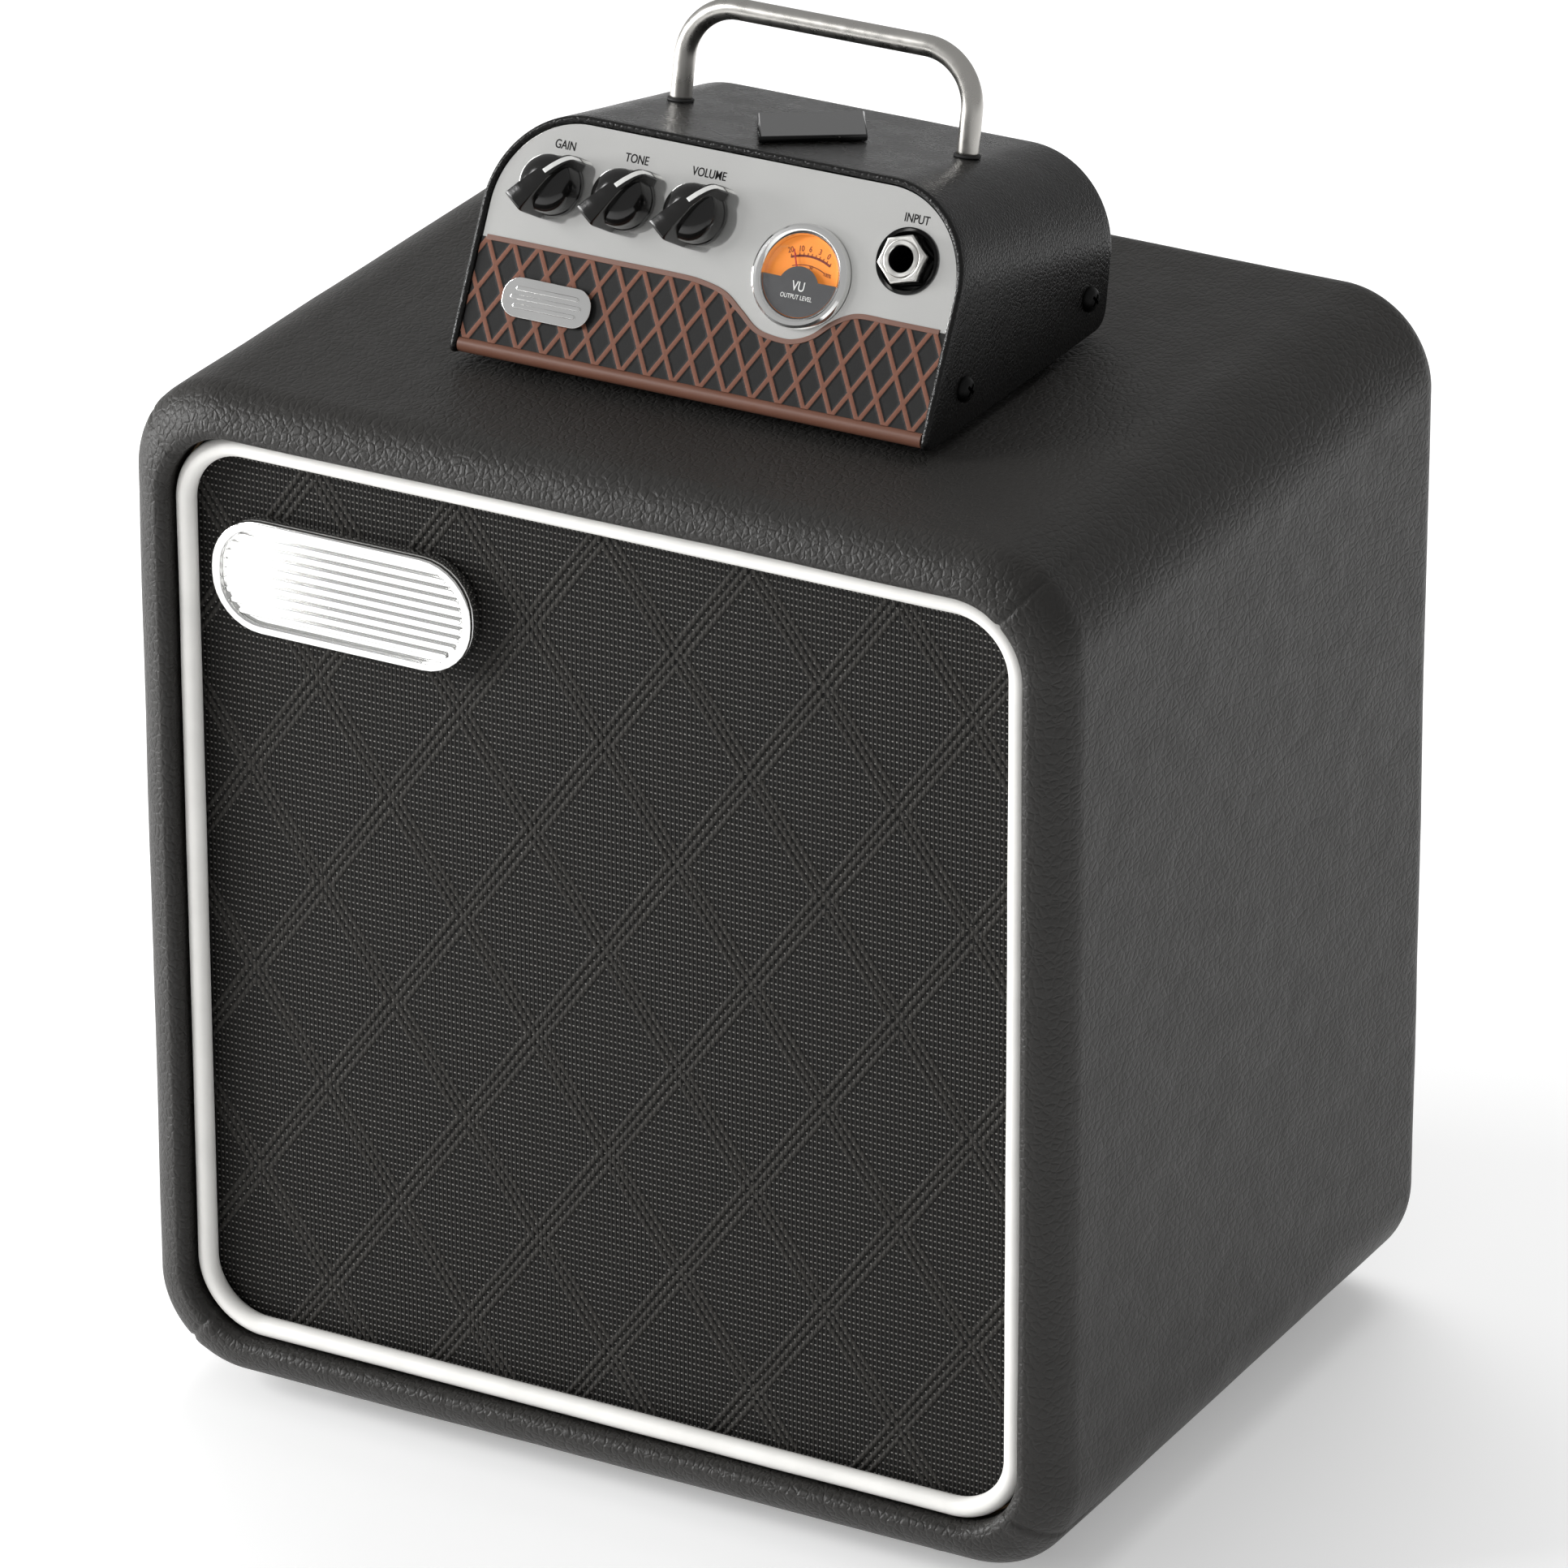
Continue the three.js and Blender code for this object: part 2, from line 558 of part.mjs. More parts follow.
function makeCasing() {
  const outline = [
    [...panelPoint((HEAD_BOTTOM - LIP_Z) / Math.cos(PANEL_LEAN), 0), 4],
    [...rearPoint(0, 0), 5],
    [...rearPoint(60, 0), 0],
    [...panelPoint(80, 0), 0],
  ];
  let shell = cut(common(arch(0), acrossHead(outline)), arch(SHELL_T));
  const inside = arch(SHELL_T + GAP);
  for (const y of Object.values(SCREW_Y)) {
    const drill = bar(1.9, -HEAD_W, HEAD_W, 12).rotateY(Math.PI / 2).translate(0, y, SCREW_Z);
    shell = cut(shell, drill);
  }
  add(head, 'head_shell', shell, vinyl);

  const [front, back] = [-PANEL_RECESS, -PANEL_RECESS - PANEL_T];
  const panelOutline = [
    panelPoint(80, front), panelPoint(80, back), panelPoint(-0.8, back), panelPoint(-0.8, 0),
    panelPoint(0.2, 0.8), panelPoint(2, 0.6), panelPoint(2.2, front),
  ];
  const holes = Object.values(KNOBS).map((x) => onPanel(bar(SHAFT_R + 0.6, -9, 9, 12), x, KNOB_S));
  holes.push(onPanel(bar(METER_CAN_R + GAP, -9, 9, 20), ...METER));
  holes.push(onPanel(bar(CUP_R + GAP, -9, 9, 16), ...JACK));
  add(head, 'front_panel', cut(common(inside, acrossHead(panelOutline)), ...holes), silverPanel);

  const trayFace = back - GAP;
  const wall = 1.2;
  const rearBack = -3;
  const tray = [
    panelPoint(-2.1, trayFace), rearPoint(0.05, rearBack - GAP), rearPoint(8, rearBack - GAP),
    rearPoint(8, rearBack - GAP - wall), rearPoint(1.2, rearBack - GAP - wall),
    panelPoint(0, trayFace - wall), panelPoint(8, trayFace - wall), panelPoint(8, trayFace),
  ];
  add(head, 'base_tray', common(inside, acrossHead(tray)), zinc);

  const rear = [rearPoint(1, -1.5), rearPoint(80, -1.5), rearPoint(80, rearBack), rearPoint(1, rearBack)];
  const rearHoles = [
    onRear(bar(4.8, -9, 9), ...REAR_ITEMS.speaker_out_jack), onRear(bar(4.2, -9, 9), ...REAR_ITEMS.dc_inlet),
    onRear(block([-3.8, -7.1, -9], [3.8, 7.1, 9]), ...REAR_ITEMS.power_switch),
    onRear(block([-5, -1.8, -9], [5, 1.8, 9]), ...REAR_ITEMS.attenuator_switch),
  ];
  add(head, 'rear_panel', cut(common(inside, acrossHead(rear)), ...rearHoles), blackPlastic);
}

function makeFittings() {
  const top = new THREE.Group();
  top.position.set(0, ...FRONT_TOP);
  top.rotation.x = -TOP_SLOPE; // its own Y runs back along the top
  head.add(top);

  const [half, rise, bend] = [HANDLE_HALF, HANDLE_RISE, HANDLE_BEND];
  const path = new THREE.CurvePath();
  const corner = (side) => new THREE.Vector3(side * (half - bend), 0, rise - bend);
  const leftArc = new THREE.CatmullRomCurve3([]);
  for (let step = 0; step <= 6; step += 1) {
    const angle = Math.PI - (Math.PI / 12) * step;
    leftArc.points.push(corner(-1).add(new THREE.Vector3(bend * Math.cos(angle), 0, bend * Math.sin(angle))));
  }
  const rightArc = new THREE.CatmullRomCurve3(
    leftArc.points.map((point) => new THREE.Vector3(-point.x, 0, point.z)).reverse(),
  );
  path.add(new THREE.LineCurve3(new THREE.Vector3(-half, 0, GAP), leftArc.points[0]));
  path.add(leftArc);
  path.add(new THREE.LineCurve3(leftArc.points.at(-1), rightArc.points[0]));
  path.add(rightArc);
  path.add(new THREE.LineCurve3(rightArc.points.at(-1), new THREE.Vector3(half, 0, GAP)));
  const tube = new THREE.Shape().absarc(0, 0, HANDLE_R, 0, 2 * Math.PI);
  const handle = new THREE.ExtrudeGeometry(tube, { steps: 36, extrudePath: path, curveSegments: 5 });
  add(top, 'handle', handle, steel).position.set(TOP_X, HANDLE_BACK, 0);

  const rhombus = new THREE.Shape([
    new THREE.Vector2(PLATE_HALF_X - PLATE_BEVEL, 0), new THREE.Vector2(0, PLATE_HALF_Y - 2 * PLATE_BEVEL),
    new THREE.Vector2(PLATE_BEVEL - PLATE_HALF_X, 0), new THREE.Vector2(0, 2 * PLATE_BEVEL - PLATE_HALF_Y),
  ]);
  const settings = {
    depth: PLATE_BEVEL, bevelThickness: PLATE_BEVEL, bevelSize: PLATE_BEVEL, bevelSegments: 1,
  };
  const plate = add(top, 'top_plate', new THREE.ExtrudeGeometry(rhombus, settings), blackPlastic);
  plate.position.set(TOP_X, PLATE_BACK, GAP + PLATE_BEVEL);

  const footHeight = HEAD_FLOOR - 2 * GAP;
  for (const [side, x] of [['left', -52], ['right', 52]]) {
    for (const [end, y] of [['front', 13], ['back', 80]]) {
      const foot = add(head, `head_foot_${end}_${side}`, bar(6, 0, footHeight), rubber);
      foot.position.set(x, y, GAP);
    }
    for (const [end, y] of Object.entries(SCREW_Y)) {
      const outline = [[0, -6], [1.5, -6], [1.5, GAP], [3.25, GAP], [3, 1.5], [2, 2], [0, 2.1]];
      const screw = add(head, `side_screw_${end}_${side}`, turned(outline, 12), blackPlastic);
      screw.rotation.y = (Math.sign(x) * Math.PI) / 2;
      screw.position.set((Math.sign(x) * HEAD_W) / 2, y, SCREW_Z);
    }
  }
}

function makeControls() {
  const panel = new THREE.Group();
  head.add(panel);
  panel.applyMatrix4(panelFrame);
  const face = -PANEL_RECESS;

  const bodies = [block([-54, 34, -11.4], [2, 50, -9.8])];
  for (const [name, x] of Object.entries(KNOBS)) {
    const knob = new THREE.Group();
    knob.position.set(x, KNOB_S, 0);
    knob.rotation.z = -THREE.MathUtils.degToRad(KNOB_TURN);
    panel.add(knob);
    const base = face + GAP;
    const ridge = [[-8.2, base], [9, base], [8.8, 5.9], [7.3, 7.8], [3.3, 10.4], [-7.3, KNOB_H]];
    const profile = new THREE.Shape(ridge.map(([along, height]) => new THREE.Vector2(along, height)));
    const pointer = new THREE.ExtrudeGeometry(profile, { depth: 5.8, bevelEnabled: false });
    pointer.translate(0, 0, -2.9).rotateX(Math.PI / 2).rotateZ(Math.PI / 2);
    const dome = [[0, base], [KNOB_R, base], [KNOB_R, 4.6], [6, 6.8], [3.6, 8], [0, 8.3]];
    const socket = bar(SHAFT_R + GAP, -6, 7, 12);
    add(knob, `${name}_knob`, cut(join(turned(dome, 24), pointer), socket), blackPlastic);
    add(knob, `${name}_shaft`, bar(SHAFT_R, -9.4, 6.6, 12), zinc);
    const pot = cut(block([-6, -6, -9.8], [6, 6, face - PANEL_T - GAP]), bar(SHAFT_R + GAP, -9.7, 0, 12));
    bodies.push(pot.translate(x, KNOB_S, 0));
  }
  add(panel, 'control_board', join(...bodies), boardGreen);

  const meter = new THREE.Group();
  meter.position.set(...METER, 0);
  panel.add(meter);
  const housing = [
    [0, -16], [METER_CAN_R, -16], [METER_CAN_R, face + GAP], [METER_R, face + GAP], [METER_R, 0.6],
    [12.2, 1.4], [10.6, 1.4], [10.6, -14.5], [0, -14.5],
  ];
  add(meter, 'meter_housing', turned(housing), chrome);
  add(meter, 'meter_dial', bar(10.3, -1.6, face, ROUND), dialAmber);
  const lens = [[0, 0.9], [10.3, 0.9], [10.3, 2.6], [9.4, 3.2], [0, 3.2]];
  add(meter, 'meter_lens', turned(lens), clear);
  const needle = join(bar(1.4, -0.6, 0.3, 12), block([-0.25, -2, -0.4], [0.25, NEEDLE_L, 0]));
  const pointer = add(meter, 'meter_needle', needle, needleRed);
  pointer.position.y = NEEDLE_PIVOT;
  pointer.rotation.z = THREE.MathUtils.degToRad(NEEDLE_TILT);

  const input = new THREE.Group();
  input.position.set(...JACK, 0);
  panel.add(input);
  const floor = -3.4;
  const cup = [
    [0, -20], [6.5, -20], [6.5, floor - 1], [CUP_R, floor - 1], [CUP_R, -0.6], [CUP_R - 0.6, -0.6],
    [CUP_R - 0.6, floor], [4.3, floor], [4.3, 3.2], [JACK_BORE_R, 3.2], [JACK_BORE_R, -18.5], [0, -18.5],
  ];
  add(input, 'input_jack', turned(cup, 16), blackPlastic);
  const hex = bar(6.45, floor + GAP, 2.8, 6).rotateZ(THREE.MathUtils.degToRad(16.6));
  add(input, 'input_nut', cut(hex, bar(4.6, -9, 9)), steel);
}

function makeInside() {
  const parts = [block([-50, 14, 7], [50, 72, 8.6])];
  for (const x of [-34, -18, -2]) parts.push(bar(5, 8, 20, 12).translate(x, 62, 0));
  parts.push(block([14, 46, 8], [44, 66, 22]), block([-44, 38, 8], [-16, 50, 14]));
  add(head, 'main_board', join(...parts), boardGreen);
}

function makeRear() {
  const rear = new THREE.Group();
  head.add(rear);
  rear.applyMatrix4(rearFrame);
  const shoulder = -3.3;
  const jack = add(rear, 'speaker_out_jack', turned(socketOutline(7, 18, 4.4, 1.5, shoulder), FINE), zinc);
  jack.position.set(...REAR_ITEMS.speaker_out_jack, 0);
  const inlet = [
    [0, -14], [5.5, -14], [5.5, shoulder], [3.9, shoulder], [3.9, -0.8], [2.9, -0.8], [2.9, -10],
    [0, -10],
  ];
  add(rear, 'dc_inlet', turned(inlet, FINE), blackPlastic).position.set(...REAR_ITEMS.dc_inlet, 0);
  const rocker = add(rear, 'power_switch', block([-3.4, -6, -4], [3.4, 6, 4]), blackPlastic);
  rocker.position.set(...REAR_ITEMS.power_switch, -3.5);
  rocker.rotation.x = THREE.MathUtils.degToRad(ROCKER_TILT);
  const slider = add(rear, 'attenuator_switch', block([-1.6, -1.4, -4.5], [1.6, 1.4, 1]), blackPlastic);
  slider.position.set(...REAR_ITEMS.attenuator_switch, 0);
  slider.position.x += SLIDER_SHIFT;
}

makeCovering();
makeBoards();
makeFront();
const socket = makeBack();
makeFeet();
makeSpeaker();
makeLead(socket);
makeCasing();
makeFittings();
makeControls();
makeInside();
makeRear();

export default amplifier;
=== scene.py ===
import json
import math

import bmesh
import bpy
import numpy as np
from mathutils import Matrix, Vector
from mathutils import noise as soft_noise


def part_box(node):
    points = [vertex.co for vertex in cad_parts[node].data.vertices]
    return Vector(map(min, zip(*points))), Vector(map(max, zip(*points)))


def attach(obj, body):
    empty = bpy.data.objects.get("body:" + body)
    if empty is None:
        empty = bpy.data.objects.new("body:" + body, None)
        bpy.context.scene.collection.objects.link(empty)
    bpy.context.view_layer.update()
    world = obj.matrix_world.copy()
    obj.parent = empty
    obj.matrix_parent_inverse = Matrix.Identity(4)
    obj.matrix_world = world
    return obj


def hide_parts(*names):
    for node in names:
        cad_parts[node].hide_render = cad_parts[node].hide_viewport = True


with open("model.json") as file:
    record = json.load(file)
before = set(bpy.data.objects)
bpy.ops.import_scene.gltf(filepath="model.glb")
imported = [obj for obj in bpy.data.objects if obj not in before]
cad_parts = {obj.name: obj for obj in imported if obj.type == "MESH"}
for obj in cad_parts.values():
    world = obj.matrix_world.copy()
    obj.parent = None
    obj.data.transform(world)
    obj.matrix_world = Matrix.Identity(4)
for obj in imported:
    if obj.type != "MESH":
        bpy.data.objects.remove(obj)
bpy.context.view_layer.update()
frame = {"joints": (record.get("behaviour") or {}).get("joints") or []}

# Lengths below are millimetres, in the same frame as the CAD, unless a name says otherwise.
MM = 0.001
X_AXIS = Vector((1, 0, 0))


def cad_corners(node):
    """A CAD node's lowest and highest corners in millimetres."""
    low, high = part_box(node)
    return Vector(low) / MM, Vector(high) / MM


def joint(name):
    return next(j for j in frame["joints"] if j["name"] == name)


# ------------------------------------------------------------ sizes taken from the frame

CAB_LOW, CAB_HIGH = cad_corners("vinyl_covering")
CAB_MID = (CAB_LOW + CAB_HIGH) / 2
CAB_W, CAB_D, CAB_H = 262, 208, 273
CORNER_R = 25
EDGE_R = 12
LIP_R = 2.5
OPENING_R = 19
SKIN_T = 1
PIPING_R = 2.6
PIPING_INSET = 15.1
PIPING_DEPTH = 6.7
PIPING_CORNER_R = 17
CLOTH_DEPTH = 9.5

SHELL_LOW, SHELL_HIGH = cad_corners("head_shell")
HEAD_W = SHELL_HIGH.x - SHELL_LOW.x
HEAD_X = (SHELL_HIGH.x + SHELL_LOW.x) / 2
SHELL_T = 1.8
BEND_R = 24.5
TOP_SLOPE = math.atan2(15.5, 72.7)
REAR_LEAN = math.atan2(7.2, 41.3)
PANEL_RECESS = 1.0

OUT_OF_PANEL = -Vector(joint("gain_turn")["axis"]).normalized()
UP_PANEL = OUT_OF_PANEL.cross(X_AXIS)
KNOB_S = 41.7
KNOB_TURN = 36
LIP = Vector(joint("gain_turn")["pos_m"]) / MM - KNOB_S * UP_PANEL
LIP.x = HEAD_X
PANEL_TOP_S = (SHELL_HIGH.z - LIP.z) / UP_PANEL.z
FRONT_TOP = LIP + PANEL_TOP_S * UP_PANEL
METER = (23.8, 32)
JACK = (50.4, 40.8)


def frame_matrix(origin, across, up, out):
    """A matrix from local millimetres to the row frame's metres."""
    columns = Matrix((across, up, out)).transposed().to_4x4()
    return Matrix.Translation(Vector(origin) * MM) @ columns


DOWN_TOP = Vector((0, math.cos(TOP_SLOPE), -math.sin(TOP_SLOPE)))
OFF_TOP = Vector((0, math.sin(TOP_SLOPE), math.cos(TOP_SLOPE)))
PANEL = frame_matrix(LIP, X_AXIS, UP_PANEL, OUT_OF_PANEL)
TOP = frame_matrix(FRONT_TOP, X_AXIS, DOWN_TOP, OFF_TOP)
CABINET = frame_matrix(CAB_MID, X_AXIS, Vector((0, 1, 0)), Vector((0, 0, 1)))
UP_REAR = Vector((0, math.sin(REAR_LEAN), math.cos(REAR_LEAN)))
OUT_OF_REAR = Vector((0, math.cos(REAR_LEAN), -math.sin(REAR_LEAN)))


# ------------------------------------------------------------ camera


def make_camera():
    data = bpy.data.cameras.new("camera")
    data.sensor_width = 36
    data.lens = 244.1
    data.clip_end = 20
    camera = bpy.data.objects.new("camera", data)
    bpy.context.scene.collection.objects.link(camera)
    azimuth, elevation, roll = (math.radians(a) for a in (29.0, 24.75, -0.2))
    turn = Matrix.Rotation(azimuth, 3, "Z") @ Matrix.Rotation(math.pi / 2 - elevation, 3, "X")
    turn = turn @ Matrix.Rotation(roll, 3, "Z")
    place = CAB_MID * MM + Vector((1.17987, -2.132, 1.13622))
    camera.matrix_world = Matrix.Translation(place) @ turn.to_4x4()
    bpy.context.scene.camera = camera


make_camera()


# ------------------------------------------------------------ materials


class Paint:
    """A node material: one Principled shader with procedural colour, roughness and bump."""

    def __init__(self, name, color, roughness, **sockets):
        self.material = bpy.data.materials.new(name)
        self.material.use_nodes = True
        self.tree = self.material.node_tree
        self.shader = self.tree.nodes["Principled BSDF"]
        self.color = color
        self.shader.inputs["Base Color"].default_value = (*color, 1)
        self.shader.inputs["Roughness"].default_value = roughness
        for socket, value in sockets.items():
            self.shader.inputs[socket.replace("_", " ")].default_value = value
        self.place = self.node("ShaderNodeTexCoord").outputs["Object"]
        self.bumps = None

    def node(self, kind, settings=None, **inputs):
        node = self.tree.nodes.new(kind)
        for key, value in (settings or {}).items():
            setattr(node, key, value)
        for key, value in inputs.items():
            socket = node.inputs[int(key[1:])] if key[0] == "i" and key[1:].isdigit() else node.inputs[key]
            if isinstance(value, bpy.types.NodeSocket):
                self.tree.links.new(value, socket)
            else:
                socket.default_value = value
        return node

    def math(self, operation, a, b=0.0, clamp=False):
        settings = {"operation": operation, "use_clamp": clamp}
        return self.node("ShaderNodeMath", settings, i0=a, i1=b).outputs[0]

    def scaled(self, factors):
        """Object coordinates in millimetres, times a factor on each axis."""
        scale = tuple(factor / MM for factor in factors)
        return self.node("ShaderNodeMapping", None, Vector=self.place, Scale=scale).outputs[0]

    def noise(self, size_mm, detail=3.0, stretch=(1, 1, 1), distortion=0.0):
        where = self.scaled([s / size_mm for s in stretch])
        settings = {"Vector": where, "Scale": 1.0, "Detail": detail, "Distortion": distortion}
        return self.node("ShaderNodeTexNoise", None, **settings).outputs[0]

    def cells(self, size_mm, stretch=(1, 1, 1), warp=None):
        """Distance to the walls of irregular cells, 0 on a wall."""
        where = self.scaled([s / size_mm for s in stretch])
        if warp:
            wobble = self.node("ShaderNodeTexNoise", None, Vector=where, Scale=1.3, Detail=2.0).outputs[1]
            mixed = self.node("ShaderNodeMix", {"data_type": "VECTOR"}, i0=warp, i4=where, i5=wobble)
            where = mixed.outputs[1]
        settings = {"feature": "DISTANCE_TO_EDGE"}
        return self.node("ShaderNodeTexVoronoi", settings, Vector=where, Scale=1.0).outputs[0]

    def ramp(self, value, low, high, to_low=0.0, to_high=1.0):
        inputs = {"Value": value, "From Min": low, "From Max": high, "To Min": to_low, "To Max": to_high}
        return self.node("ShaderNodeMapRange", None, **inputs).outputs[0]

    def blend(self, factor, first, second):
        node = self.node("ShaderNodeMix", {"data_type": "RGBA"})
        for index, value in ((0, factor), (6, first), (7, second)):
            if isinstance(value, bpy.types.NodeSocket):
                self.tree.links.new(value, node.inputs[index])
            elif index:
                node.inputs[index].default_value = (*value, 1)
            else:
                node.inputs[index].default_value = value
        return node.outputs[2]

    def link(self, value, socket):
        self.tree.links.new(value, self.shader.inputs[socket])
        return self

    def vary(self, amount=0.25, size_mm=8, rough=0.08):
        """Uneven colour and roughness, as handling and light wear leave them."""
        cloud = self.noise(size_mm)
        dark = [c * (1 - amount) for c in self.color]
        light = [min(1, c * (1 + amount)) for c in self.color]
        self.link(self.blend(cloud, dark, light), "Base Color")
        base = self.shader.inputs["Roughness"].default_value
        low, high = max(0.02, base - rough), min(1, base + rough)
        return self.link(self.ramp(self.noise(size_mm / 3), 0.35, 0.65, low, high), "Roughness")

    def bump(self, height, depth_mm, strength=1.0):
        """Adds one bump layer; later layers stack on the earlier ones."""
        inputs = {"Height": height, "Distance": depth_mm * MM, "Strength": strength}
        if self.bumps is not None:
            inputs["Normal"] = self.bumps
        self.bumps = self.node("ShaderNodeBump", None, **inputs).outputs[0]
        return self.link(self.bumps, "Normal")


def leather(name, color, roughness, cell_mm, depth_mm, stretch=(1, 1, 1), crease=0.0):
    paint = Paint(name, color, roughness, Specular_IOR_Level=0.26)
    paint.vary(0.1, 30, 0.025)
    walls = paint.cells(cell_mm, stretch, 0.35)
    paint.bump(paint.ramp(walls, 0.0, 0.22), depth_mm)
    paint.bump(paint.noise(cell_mm * 0.45, 4.0, stretch), depth_mm * 0.8)
    paint.bump(paint.noise(9, 2.0), depth_mm)
    if crease:
        long_walls = paint.cells(cell_mm * 7, (1.0, 0.45, 0.8), 0.5)
        paint.bump(paint.ramp(long_walls, 0.0, 0.08), crease)
    return paint.material


def plastic(name, color, roughness, **sockets):
    paint = Paint(name, color, roughness, **sockets)
    paint.vary(0.12, 12, 0.04)
    return paint.bump(paint.noise(0.5, 2.0), 0.01).material


def metal(name, color, roughness, brush=(1, 1, 1), grain_mm=0.4, depth_mm=0.004):
    paint = Paint(name, color, roughness, Metallic=1.0)
    paint.vary(0.06, 10, 0.05)
    return paint.bump(paint.noise(grain_mm, 3.0, brush), depth_mm).material


def mirror(name, color, roughness, metallic, **sockets):
    """A smooth bright coat with only a trace of unevenness."""
    paint = Paint(name, color, roughness, Metallic=metallic, **sockets)
    paint.vary(0.015, 60, 0.01)
    return paint.bump(paint.noise(25, 1.0), 0.004).material


def flat_print(name, color, roughness=0.5, **sockets):
    paint = Paint(name, color, roughness, **sockets)
    return paint.vary(0.05, 3, 0.05).material


def cloth_paint():
    """Vertical ribs with short pale dashes of thread between them, and stitched diamonds with a painted
    highlight along their threads.
    """
    paint = Paint("grille_weave", (0.012, 0.011, 0.010), 0.75, Specular_IOR_Level=0.2)
    split = paint.node("ShaderNodeSeparateXYZ", None, Vector=paint.scaled((1, 1, 1)))
    x, z = split.outputs[0], split.outputs[2]
    across = paint.math("FRACT", paint.math("ADD", paint.math("DIVIDE", x, WEAVE_X), 100.25))
    row = paint.math("ADD", paint.math("DIVIDE", z, WEAVE_Z), 200.0)
    down = paint.math("FRACT", row)
    gap = paint.math("ABSOLUTE", paint.math("SUBTRACT", across, 0.5))
    thread = paint.math("ABSOLUTE", paint.math("SUBTRACT", down, 0.5))
    in_gap = paint.ramp(gap, 0.16, 0.26, 1.0, 0.0)
    on_row = paint.ramp(thread, 0.07, 0.15, 1.0, 0.0)
    fuzz = paint.ramp(paint.noise(0.5, 3.0), 0.3, 0.7, 0.35, 1.0)
    dash = paint.math("MULTIPLY", paint.math("MULTIPLY", in_gap, on_row), fuzz)
    off_stitch = None
    for sign in (1, -1):
        rise = paint.math("DIVIDE", paint.math("SUBTRACT", z, STITCH_AT[1]), sign * STITCH_Z)
        run = paint.math("DIVIDE", paint.math("SUBTRACT", x, STITCH_AT[0]), STITCH_X)
        turns = paint.math("ADD", paint.math("DIVIDE", paint.math("ADD", run, rise), 2), 50.5)
        phase = paint.math("ABSOLUTE", paint.math("SUBTRACT", paint.math("FRACT", turns), 0.5))
        away = paint.math("MULTIPLY", phase, 2 * STITCH_STEEP)
        off_stitch = away if off_stitch is None else paint.math("MINIMUM", off_stitch, away)
    beside = paint.math("ABSOLUTE", paint.math("SUBTRACT", off_stitch, STITCH_APART))
    seam_and_highlight = paint.ramp(paint.math("MINIMUM", off_stitch, beside), 0.35, 0.7, 0.1, 1.0)
    dash = paint.math("MULTIPLY", dash, seam_and_highlight)
    rib = paint.ramp(gap, 0.22, 0.42)
    ground = paint.blend(rib, (0.002, 0.002, 0.0018), (0.0145, 0.013, 0.0112))
    # Painted highlight: along the stitch lines the ground is made lighter, standing in for light caught by
    # the raised threads.
    ground = paint.blend(seam_and_highlight, (0.034, 0.032, 0.029), ground)
    paint.link(paint.blend(dash, ground, (0.27, 0.262, 0.245)), "Base Color")
    ripple = paint.math("SINE", paint.math("MULTIPLY", row, 2 * math.pi))
    height = paint.math("ADD", paint.math("MULTIPLY", rib, 0.8), paint.math("MULTIPLY", dash, 0.7))
    height = paint.math("ADD", height, paint.math("MULTIPLY", ripple, 0.05))
    paint.bump(height, 0.45)
    return paint.bump(paint.noise(0.35, 3.0), 0.12).material


WEAVE_X, WEAVE_Z = 1.19, 1.755
STITCH_X, STITCH_Z = 20.35, 27.95
STITCH_AT = (0.3, 6.0)
STITCH_STEEP = 1 / math.sqrt(1 / STITCH_X**2 + 1 / STITCH_Z**2)
STITCH_APART = 1.94
STITCH_HALF = 0.45

VINYL = leather("cabinet_vinyl", (0.026, 0.0248, 0.0232), 0.46, 1.25, 0.13, (1.0, 0.7, 0.9), 0.07)
HEAD_VINYL = leather("head_vinyl", (0.006, 0.0058, 0.0055), 0.27, 0.85, 0.06, (0.8, 1.2, 1.0))
CLOTH = cloth_paint()
PIPING = plastic("piping_vinyl", (0.82, 0.81, 0.78), 0.36)
SILVER = mirror("panel_silver", (0.84, 0.84, 0.82), 0.1, 0.75)
BROWN = plastic("panel_brown", (0.15, 0.062, 0.038), 0.42)
GLOSS = mirror("gloss_black", (0.003, 0.003, 0.003), 0.08, 0.0, Specular_IOR_Level=0.18)
KNOB_BLACK = plastic("knob_black", (0.007, 0.0068, 0.0064), 0.16)
WHITE = flat_print("white_paint", (0.85, 0.85, 0.83))
INK = flat_print("ink", (0.008, 0.008, 0.008), 0.7, Specular_IOR_Level=0.1)
CHROME = mirror("chrome", (0.88, 0.88, 0.87), 0.1, 1.0)
NICKEL = metal("nickel", (0.78, 0.77, 0.74), 0.2, (1, 0.1, 1), 0.3, 0.002)
BRUSHED = metal("brushed_steel", (0.56, 0.545, 0.515), 0.3, (0.06, 1, 1), 0.25, 0.006)
RUBBER = plastic("rubber", (0.014, 0.014, 0.014), 0.7)
BLACK_METAL = metal("black_paint", (0.02, 0.02, 0.02), 0.45, (1, 1, 1), 0.3, 0.01)


# ------------------------------------------------------------ mesh helpers


def finish_piece(obj, body, replaced=()):
    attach(obj, body)
    if replaced:
        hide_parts(*([replaced] if isinstance(replaced, str) else replaced))
    return obj


def piece(name, points, faces, place, surface, smooth=True, weld=True):
    """A mesh from points in local millimetres, put in the row frame by place."""
    mesh = bpy.data.meshes.new(name)
    mesh.from_pydata([tuple(c * MM for c in point) for point in points], [], faces)
    made = bmesh.new()
    made.from_mesh(mesh)
    if weld:
        bmesh.ops.remove_doubles(made, verts=made.verts, dist=1e-6)
    bmesh.ops.recalc_face_normals(made, faces=made.faces)
    for face in made.faces:
        face.smooth = smooth
    made.to_mesh(mesh)
    made.free()
    mesh.materials.append(surface)
    obj = bpy.data.objects.new(name, mesh)
    bpy.context.scene.collection.objects.link(obj)
    obj.matrix_world = place
    return obj


